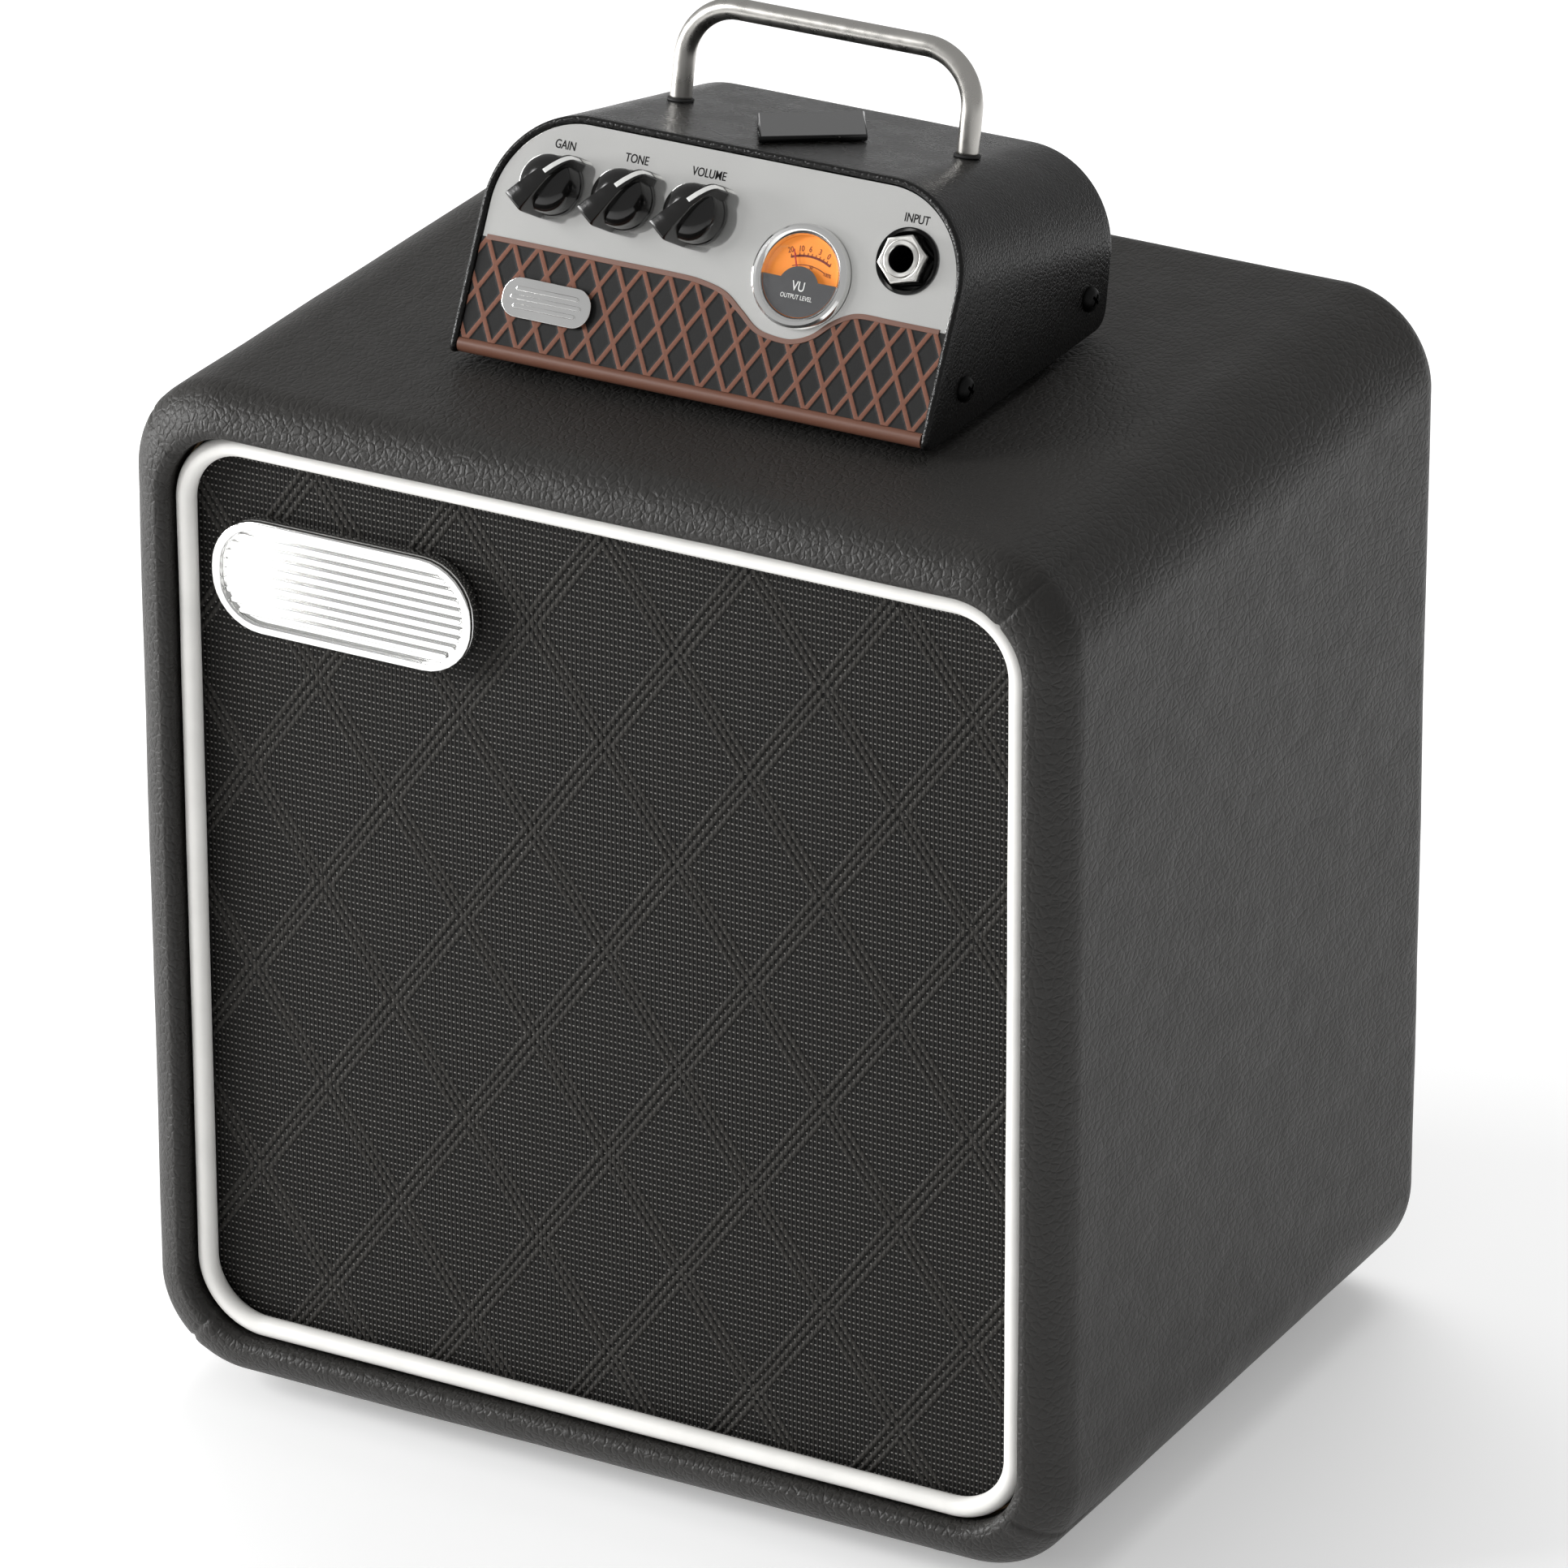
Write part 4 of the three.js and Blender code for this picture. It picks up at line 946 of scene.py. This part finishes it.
def panel_outline(inset, depth, low):
    """The panel's edge in its own X and Y: up one side, over the arch and down the other."""
    half = HEAD_W / 2 - inset
    radius = BEND_R - inset
    top = PANEL_TOP_S - depth * OFF_PANEL_LINE / UP_PANEL_LINE
    outline = [(half, low)]
    for side in (1, -1):
        for step in range(25):
            angle = math.radians(90 * step / 24)
            if side == -1:
                angle = math.pi / 2 - angle
            drop = (radius * math.sin(angle) - radius - inset) / UP_PANEL_LINE
            outline.append((side * (half - radius + radius * math.cos(angle)), top + drop))
    outline.append((-half, low))
    return outline


# ------------------------------------------------------------ front panel

FACE = -PANEL_RECESS
BOUNDARY = [
    (-66, 26.3), (-30, 26.3), (-10, 26.3), (-2.65, 25.9), (4.05, 24.3), (9.45, 20.7), (14.95, 17.0),
    (21.95, 15.9), (26.25, 16.5), (30.25, 18.5), (33.85, 21.8), (37.75, 24.3), (41.85, 25.5),
    (50, 25.5), (66, 25.5),
]
BORDER_W = 1.3
LATTICE_X, LATTICE_Y = 3.65, 6.45
LATTICE_LINE = 0.58


def boundary_curve(steps=8):
    """The wavy line between the silver and the patterned field, smoothed."""
    points = [Vector((x, y)) for x, y in BOUNDARY]
    curve = []
    for index in range(len(points) - 1):
        before = points[max(0, index - 1)]
        start, end = points[index], points[index + 1]
        after = points[min(len(points) - 1, index + 2)]
        for step in range(steps):
            t = step / steps
            a = -t + 2 * t * t - t**3
            b = 2 - 5 * t * t + 3 * t**3
            c = t + 4 * t * t - 3 * t**3
            d = -t * t + t**3
            curve.append((before * a + start * b + end * c + after * d) * 0.5)
    curve.append(points[-1])
    return curve


def lattice_paint():
    """Brown bars crossing over a dark field, in the panel's own X and Y."""
    paint = Paint("panel_lattice", (0.02, 0.02, 0.02), 0.6, Specular_IOR_Level=0.2)
    split = paint.node("ShaderNodeSeparateXYZ", None, Vector=paint.scaled((1, 1, 1)))
    x, y = split.outputs[0], split.outputs[1]
    near = None
    for sign in (1, -1):
        rise = paint.math("DIVIDE", paint.math("SUBTRACT", y, LATTICE_AT[1]), sign * LATTICE_Y)
        run = paint.math("DIVIDE", paint.math("SUBTRACT", x, LATTICE_AT[0]), LATTICE_X)
        turns = paint.math("ADD", paint.math("DIVIDE", paint.math("ADD", run, rise), 2), 50.5)
        wrapped = paint.math("ABSOLUTE", paint.math("SUBTRACT", paint.math("FRACT", turns), 0.5))
        away = paint.math("MULTIPLY", wrapped, 2 * LATTICE_STEEP)
        near = away if near is None else paint.math("MINIMUM", near, away)
    bar = paint.ramp(near, LATTICE_LINE - 0.06, LATTICE_LINE + 0.06, 1, 0)
    cloud = paint.noise(0.5, 3.0)
    field = paint.blend(cloud, (0.006, 0.006, 0.006), (0.013, 0.0125, 0.012))
    brown = paint.blend(cloud, (0.15, 0.06, 0.036), (0.21, 0.086, 0.055))
    paint.link(paint.blend(bar, field, brown), "Base Color")
    return paint.bump(paint.noise(0.4, 2.0), 0.02).material


LATTICE_AT = (6.63, 6.8)
LATTICE_STEEP = 1 / math.sqrt(1 / LATTICE_X**2 + 1 / LATTICE_Y**2)


def make_panel():
    holes = [circle(x, KNOB_S, 3.5) for x in KNOB_X.values()]
    holes += [circle(*METER, 11.5, 64), circle(*JACK, 8.1, 64)]
    silver = plate("silver_field", [panel_outline(2.0, FACE, 0.8)] + holes, 1.2, PANEL, SILVER, 0.1, FACE)
    finish_piece(silver, "head", "front_panel")

    curve = boundary_curve()
    half = HEAD_W / 2 - 2.0
    columns, rows = 361, 72
    points = []
    for row in range(rows):
        for column in range(columns):
            x = -half + 2 * half * column / (columns - 1)
            top = float(np.interp(x, [p.x for p in curve], [p.y for p in curve]))
            y = 0.9 + (top - 0.9) * row / (rows - 1)
            points.append((x, y, FACE + 0.12 + 0.16 * on_lattice(x, y)))
    field = piece("lattice_field", points, grid_faces(rows, columns), PANEL, lattice_paint(), weld=False)
    finish_piece(field, "head")

    outer, inner = [], []
    inside = [p for p in curve if abs(p.x) < half - 0.2]
    for index, here in enumerate(inside):
        before, after = inside[max(0, index - 1)], inside[min(len(inside) - 1, index + 1)]
        along = (after - before).normalized()
        off = Vector((-along.y, along.x)) * BORDER_W / 2
        outer.append((here.x + off.x, here.y + off.y))
        inner.append((here.x - off.x, here.y - off.y))
    border = plate("field_border", [outer + inner[::-1]], 0.5, PANEL, BROWN, 0.1, FACE + 0.36)
    finish_piece(border, "head")

    section = arc((-0.6, -2.3), 2.0, 35, 205, 16) + arc((-0.6, -2.3), 1.2, 205, 35, 16)
    points = []
    for x in np.linspace(-half, half, 60):
        points += [(x, s, p) for s, p in section]
    faces = grid_faces(60, len(section), False, True)
    faces += [tuple(range(len(section))), tuple(range(59 * len(section), 60 * len(section)))]
    lip = piece("panel_lip", points, faces, PANEL, BROWN)
    finish_piece(sharpened(lip), "head")

    for name, text, x, s, size in (
        ("caption_gain", "GAIN", KNOB_X["gain"], 52.0, 3.1),
        ("caption_tone", "TONE", KNOB_X["tone"], 52.0, 3.1),
        ("caption_volume", "VOLUME", KNOB_X["volume"], 52.0, 3.1),
        ("caption_input", "INPUT", JACK[0], 51.1, 3.1),
    ):
        words = lettering(name, text, size, at(PANEL, x, s), INK, 0.78, FACE + 0.05)
        finish_piece(words, "head")

    spot = at(PANEL, -42.5, 13.2)
    base = plate("head_badge", [rounded_box(12.4, 5.0, 4.6)], 0.9, spot, CHROME, 0.25, 0.4)
    finish_piece(base, "head")
    for index in range(3):
        y = -2.2 + 2.2 * index
        outline = rounded_box(9.8 - abs(y) * 0.5, 0.6, 0.55, 4, (0, y))
        rib = plate(f"head_badge_rib_{index}", [outline], 0.7, spot, CHROME, 0.22, 0.95)
        finish_piece(rib, "head")


def on_lattice(x, y):
    for sign in (1, -1):
        phase = (x - LATTICE_AT[0]) / LATTICE_X + (y - LATTICE_AT[1]) / (sign * LATTICE_Y)
        away = abs(phase - 2 * round(phase / 2)) * LATTICE_STEEP
        if away < LATTICE_LINE + 0.1:
            return 1.0
    return 0.0


# ------------------------------------------------------------ knobs

KNOB_X = {"gain": -47.5, "tone": -27.4, "volume": -7.2}
POINTER = (
    # along, half width on top, height on top, half width at the base
    (-8.2, 2.75, 9.6, 3.2), (-8.0, 2.85, 10.9, 3.25), (-7.7, 2.85, 11.45, 3.25), (-7.3, 2.85, 11.7, 3.2),
    (-4.0, 2.55, 11.5, 3.1), (0.0, 2.05, 11.0, 3.0), (3.3, 1.65, 10.4, 2.8), (5.4, 1.45, 9.3, 2.5),
    (7.3, 1.25, 7.75, 2.1), (8.2, 1.15, 6.6, 1.8), (8.7, 1.1, 5.6, 1.6), (9.0, 1.1, 4.4, 1.5),
)
POINTER_LOW = -0.7
LINE_START = 3.0
LINE_HALF = 0.6


def pointer_at(along):
    stations = [station[0] for station in POINTER]
    return [float(np.interp(along, stations, [s[k] for s in POINTER])) for k in range(1, 4)]


def pointer_body(name, place):
    """A straight-sided wedge, high at its tail and curving down to a narrow nose."""
    points = []
    alongs = np.linspace(POINTER[0][0], POINTER[-1][0], 57)
    for along in alongs:
        top, height, base = pointer_at(along)
        half = []
        for step in range(13):
            t = step / 12
            half.append((base + (top - base) * t, POINTER_LOW + (height - 0.35 - POINTER_LOW) * t))
        half += [(top - 0.1, height - 0.1), (top - 0.38, height)]
        loop = half + [(0, height + 0.04)] + [(-x, z) for x, z in reversed(half)]
        points += [(x, along, z) for x, z in loop]
    size = len(points) // len(alongs)
    faces = grid_faces(len(alongs), size, False, True)
    faces += [tuple(range(size)), tuple(range((len(alongs) - 1) * size, len(alongs) * size))]
    obj = piece(name, points, faces, place, KNOB_BLACK)
    return sharpened(bevelled(obj, 0.28, 3, 50), 40)


def knob_line(name, place):
    """The white line: from the middle of the ridge to the nose and down its end."""
    track = [(along, pointer_at(along)[1] + 0.09) for along in np.linspace(LINE_START, 8.9, 30)]
    track += [(9.09, height) for height in np.linspace(4.2, -0.4, 10)]
    inner = [(along - 0.12, height - 0.22) for along, height in track]
    points = []
    for rows in (track, inner):
        for along, height in rows:
            points += [(-LINE_HALF, along, height), (LINE_HALF, along, height)]
    count, last = 2 * len(track), len(track) - 1
    faces = []
    for k in range(last):
        near, far = 2 * k, 2 * k + 2
        faces.append((near, near + 1, far + 1, far))
        faces.append((count + near, count + far, count + far + 1, count + near + 1))
        faces += [(near + side, far + side, count + far + side, count + near + side) for side in (0, 1)]
    for end in (0, 2 * last):
        faces.append((end, end + 1, count + end + 1, count + end))
    return sharpened(piece(name, points, faces, place, WHITE))


def make_knobs():
    skirt = [
        (0, -0.7), (7.3, -0.7), (7.5, -0.5), (7.5, 0.3), (7.3, 0.5), (7.3, 4.2), (7.15, 5.1), (6.7, 6.0),
        (5.9, 6.9), (4.8, 7.6), (3.4, 8.1), (1.8, 8.35), (0, 8.4),
    ]
    for name, x in KNOB_X.items():
        place = at(PANEL, x, KNOB_S, 0, -KNOB_TURN)
        finish_piece(lathe(f"{name}_knob_hub", skirt, place, KNOB_BLACK, 72), name, f"{name}_knob")
        finish_piece(pointer_body(f"{name}_knob_pointer", place), name)
        finish_piece(knob_line(f"{name}_knob_line", place), name)


# ------------------------------------------------------------ meter

AMBER = flat_print("dial_amber", (0.85, 0.27, 0.04), 0.7)
GREY = flat_print("dial_grey", (0.055, 0.055, 0.058), 0.6)
RED_BROWN = flat_print("dial_ink", (0.22, 0.03, 0.015), 0.6)
RED = plastic("needle_red", (0.55, 0.03, 0.02), 0.4)


def glow(material, color, strength):
    shader = material.node_tree.nodes["Principled BSDF"]
    shader.inputs["Emission Color"].default_value = (*color, 1)
    shader.inputs["Emission Strength"].default_value = strength


def clear_paint():
    paint = Paint("meter_lens_clear", (0.02, 0.02, 0.02), 0.03, Alpha=0.05, Specular_IOR_Level=0.5)
    return paint.bump(paint.noise(6, 1.0), 0.02).material


def band(middle, radius, half, start, end, steps=40):
    return arc(middle, radius + half, start, end, steps) + arc(middle, radius - half, end, start, steps)


def make_meter():
    # Painted light: the amber dial is made to glow faintly, standing in for the light the lens keeps off
    # it.
    glow(AMBER, (1.0, 0.3, 0.04), 0.35)
    place = at(PANEL, *METER)
    bezel = [
        (10.2, -1.6), (10.2, 0.6), (10.6, 1.3), (11.4, 1.75), (12.2, 1.7), (12.8, 1.2), (13.0, 0.4),
        (13.0, -0.7), (11.3, -0.9), (11.3, -15.9), (0, -15.9), (0, -14.6), (10.2, -14.6), (10.2, -1.6),
    ]
    finish_piece(lathe("meter_bezel", bezel, place, CHROME, 96), "head", "meter_housing")
    dial_top, mask_top = -1.0, 0.6
    disc = plate("dial_plate", [circle(0, 0, 10.15, 96)], 0.5, place, AMBER, 0, dial_top)
    finish_piece(disc, "head", "meter_dial")
    edge = math.asin(-0.8 / 10.1)
    lower = arc((0, 0), 10.1, math.degrees(edge), -180 - math.degrees(edge), 60)
    dome = arc((0, -3.2), 5.6, 155, 25, 30)
    mask = plate("dial_mask", [lower + dome], 0.15, place, GREY, 0, mask_top)
    finish_piece(mask, "head")
    middle = (0.6, -8.0)
    for name, radius, half, start, end in (
        ("scale_line", 13.2, 0.28, 112, 63), ("scale_second", 11.0, 0.1, 112, 64),
    ):
        outline = band(middle, radius, half, start, end)
        line = plate(name, [outline], 0.06, place, RED_BROWN, 0, dial_top + 0.07)
        finish_piece(line, "head")
    for index, (angle, text) in enumerate(((111, "20"), (100, "10"), (90.5, "6"), (80, "3"), (70, "0"))):
        a = math.radians(angle)
        spot = at(place, middle[0] + 14.9 * math.cos(a), middle[1] + 14.9 * math.sin(a), 0, angle - 90)
        number = lettering(f"dial_number_{index}", text, 2.0, spot, RED_BROWN, 0.8, dial_top + 0.04)
        finish_piece(number, "head")
    for index in range(11):
        angle = 111 - 4.7 * index
        spot = at(place, *middle, 0, angle - 90)
        outline = rounded_box(0.1, 0.45, 0.05, 2, (0, 13.5))
        tick = plate(f"dial_tick_{index}", [outline], 0.06, spot, RED_BROWN, 0, dial_top + 0.07)
        finish_piece(tick, "head")
    for name, text, y, size in (("dial_vu", "VU", -2.6, 3.4), ("dial_caption", "OUTPUT LEVEL", -5.2, 1.6)):
        words = lettering(name, text, size, at(place, 0.2, y), WHITE, 0.8, mask_top + 0.04)
        finish_piece(words, "head")
    for index, (x, y, text) in enumerate(((1.6, 2.6, "50"), (6.3, 1.5, "100%"))):
        spot = at(place, x, y, 0, -8 * index)
        mark = lettering(f"dial_small_{index}", text, 1.3, spot, RED_BROWN, 0.8, dial_top + 0.04)
        finish_piece(mark, "head")

    swing = at(place, 0, -2.5, 0, 22)
    points = [(-0.28, -2, -0.35), (0.28, -2, -0.35), (0.12, 9.5, -0.35), (-0.12, 9.5, -0.35)]
    points += [(x, y, -0.1) for x, y, _ in points]
    faces = [(0, 1, 2, 3), (4, 5, 6, 7), (0, 1, 5, 4), (1, 2, 6, 5), (2, 3, 7, 6), (3, 0, 4, 7)]
    needle = piece("needle_pointer", points, faces, swing, RED, smooth=False)
    finish_piece(needle, "needle", "meter_needle")
    outline = [(0, -0.5), (1.3, -0.5), (1.4, -0.3), (1.2, 0.1), (0.6, 0.3), (0, 0.3)]
    hub = lathe("needle_hub", outline, swing, RUBBER, 32)
    finish_piece(hub, "needle")

    lens = [(0, 0.95), (10.0, 0.95), (10.0, 2.2)] + [
        (9.9 * math.cos(a), 2.2 + 0.9 * math.sin(a)) for a in np.linspace(0.1, math.pi / 2, 14)
    ]
    lens[-1] = (0, lens[-1][1])
    finish_piece(lathe("meter_glass", lens, place, clear_paint(), 96), "head", "meter_lens")


# ------------------------------------------------------------ input socket


def make_input():
    place = at(PANEL, *JACK)
    cup = [
        (0, -19.5), (6.4, -19.5), (6.4, -4.4), (8.0, -4.4), (8.0, -1.0), (8.25, -0.8), (8.25, -0.4),
        (7.9, -0.2),
        (7.3, -0.5), (6.9, -1.6), (6.6, -3.2), (4.4, -3.4), (4.4, 2.0), (4.2, 2.2), (3.4, 2.2), (3.25, 2.0),
        (3.2, -18), (0, -18),
    ]
    finish_piece(lathe("input_cup", cup, place, GLOSS, 96), "head", "input_jack")
    nut = plate("input_hex_nut", [hexagon(6.5, 16.6), circle(0, 0, 4.5)], 6.2, place, NICKEL, 0.4, 2.9)
    finish_piece(nut, "head", "input_nut")
    rim = [(3.3, 2.0), (4.6, 2.0), (4.6, 3.0), (4.4, 3.2), (3.5, 3.2), (3.3, 3.0), (3.3, 2.0)]
    finish_piece(lathe("input_bushing_rim", rim, place, NICKEL, 72), "head")


# ------------------------------------------------------------ handle and fittings


def make_fittings():
    spot = at(TOP, 1, 40.6)
    half, rise, bend = 40.2, 25.3, 14
    path = [(-half, 0, z) for z in np.linspace(0.3, rise - bend, 12)]
    path += [(-half + bend + bend * math.cos(a), 0, rise - bend + bend * math.sin(a))
             for a in np.linspace(math.pi, math.pi / 2, 22)[1:]]
    path += [(x, 0, rise) for x in np.linspace(-half + bend, half - bend, 24)[1:]]
    path += [(half - bend + bend * math.cos(a), 0, rise - bend + bend * math.sin(a))
             for a in np.linspace(math.pi / 2, 0, 22)[1:]]
    path += [(half, 0, z) for z in np.linspace(rise - bend, 0.3, 12)[1:]]
    finish_piece(tube("handle_bar", path, 2.75, spot, BRUSHED, 40), "head", "handle")
    for side, x in (("left", -half), ("right", half)):
        ring = [(2.8, 0.05), (3.3, 0.05), (3.45, 0.2), (3.4, 0.5), (3.2, 0.7), (2.8, 0.7), (2.8, 0.05)]
        washer = lathe(f"handle_washer_{side}", ring, at(spot, x), RUBBER, 48)
        finish_piece(washer, "head")

    spot = at(TOP, 1, 34.8)
    outline = [(15.5, 0), (0, 27.4), (-15.5, 0), (0, -27.4)]
    badge = plate("top_badge", [outline], 1.7, spot, GLOSS, 0.5, 1.9)
    finish_piece(badge, "head", "top_plate")

    for side, sign in (("left", -1), ("right", 1)):
        for end, foot_y, screw_y in (("front", 13, 18.6), ("back", 80, 84)):
            place = Matrix.Translation(Vector((HEAD_X + 52 * sign, LIP.y + foot_y, CAB_HIGH.z + 0.3)) * MM)
            make_foot(f"head_foot_{end}_{side}_pad", "head", f"head_foot_{end}_{side}", 6, 2.8, place)
            origin = (HEAD_X + sign * HEAD_W / 2, LIP.y + screw_y, CAB_HIGH.z + 12.6)
            out = Vector((sign, 0, 0))
            spot = frame_matrix(origin, Vector((0, sign, 0)), Vector((0, 0, 1)), out)
            spot = at(spot, 0, 0, 0, 20 + 25 * sign)
            node = f"side_screw_{end}_{side}"
            screw(f"{node}_head", "head", spot, 3.25, 2.1, BLACK_METAL, node)


# ------------------------------------------------------------ pieces kept from the CAD


def keep(node, surface):
    obj = bpy.data.objects[node]
    obj.data.materials.clear()
    obj.data.materials.append(surface)


def dress_cad_nodes():
    wood = leather("plywood", (0.35, 0.22, 0.11), 0.7, 5.0, 0.1, (1, 6, 1))
    circuit = plastic("circuit_board", (0.012, 0.09, 0.03), 0.45)
    zinc = metal("zinc", (0.4, 0.4, 0.41), 0.42, (1, 1, 1), 3.0, 0.01)
    lead = plastic("lead_rubber", (0.012, 0.012, 0.012), 0.6)
    rear = plastic("rear_black", (0.014, 0.014, 0.014), 0.5)
    for node in ("top_board", "bottom_board", "left_board", "right_board", "baffle_board"):
        keep(node, wood)
    for node in ("control_board", "main_board"):
        keep(node, circuit)
    for node in ("gain_shaft", "tone_shaft", "volume_shaft", "speaker_out_jack"):
        keep(node, zinc)
    keep("speaker_lead", lead)
    for node in ("base_tray", "rear_panel", "dc_inlet", "speaker_terminals"):
        keep(node, rear)
    for node in ("power_switch", "attenuator_switch"):
        keep(node, rear)


# ------------------------------------------------------------ stage


def soft_light(name, place, aim, size, power, color=(1, 1, 1)):
    data = bpy.data.lights.new(name, "AREA")
    data.shape = "RECTANGLE"
    data.size, data.size_y = size
    data.energy = power
    data.color = color
    obj = bpy.data.objects.new(name, data)
    bpy.context.scene.collection.objects.link(obj)
    obj.location = place
    obj.rotation_euler = (Vector(aim) - Vector(place)).to_track_quat("-Z", "Y").to_euler()
    return obj


def make_stage():
    floor_paint = Paint("floor_white", (0.93, 0.93, 0.93), 0.7)
    floor_paint.vary(0.01, 300, 0.05)
    glow(floor_paint.material, (1, 1, 1), 0.28)
    mesh = bpy.data.meshes.new("floor")
    half, rings = 4.0, 8
    lines = [-half + 2 * half * step / rings for step in range(rings + 1)]
    points = [(x, y, 0) for y in lines for x in lines]
    mesh.from_pydata(points, [], grid_faces(rings + 1, rings + 1))
    mesh.materials.append(floor_paint.material)
    floor = bpy.data.objects.new("floor", mesh)
    bpy.context.scene.collection.objects.link(floor)
    world = bpy.data.worlds.new("studio")
    world.use_nodes = True
    background = world.node_tree.nodes["Background"]
    background.inputs[0].default_value = (1, 1, 1, 1)
    background.inputs[1].default_value = 0.42
    bpy.context.scene.world = world
    soft_light("key", (-1.75, -1.4, 1.4), (0, 0, 0.15), (0.8, 0.8), 32)
    soft_light("front", (-2.3, -1.0, 0.5), (0, 0, 0.12), (0.8, 0.6), 52)
    soft_light("top", (-0.2, 0.9, 1.9), (0, 0, 0.2), (1.6, 1.0), 18).visible_glossy = False
    bpy.context.scene.view_settings.view_transform = "Standard"


make_covering()
make_piping()
make_cloth()
make_cabinet_badge()
make_cabinet_feet()
make_back()
make_speaker()
make_casing()
make_panel()
make_knobs()
make_meter()
make_input()
make_fittings()
dress_cad_nodes()
make_stage()
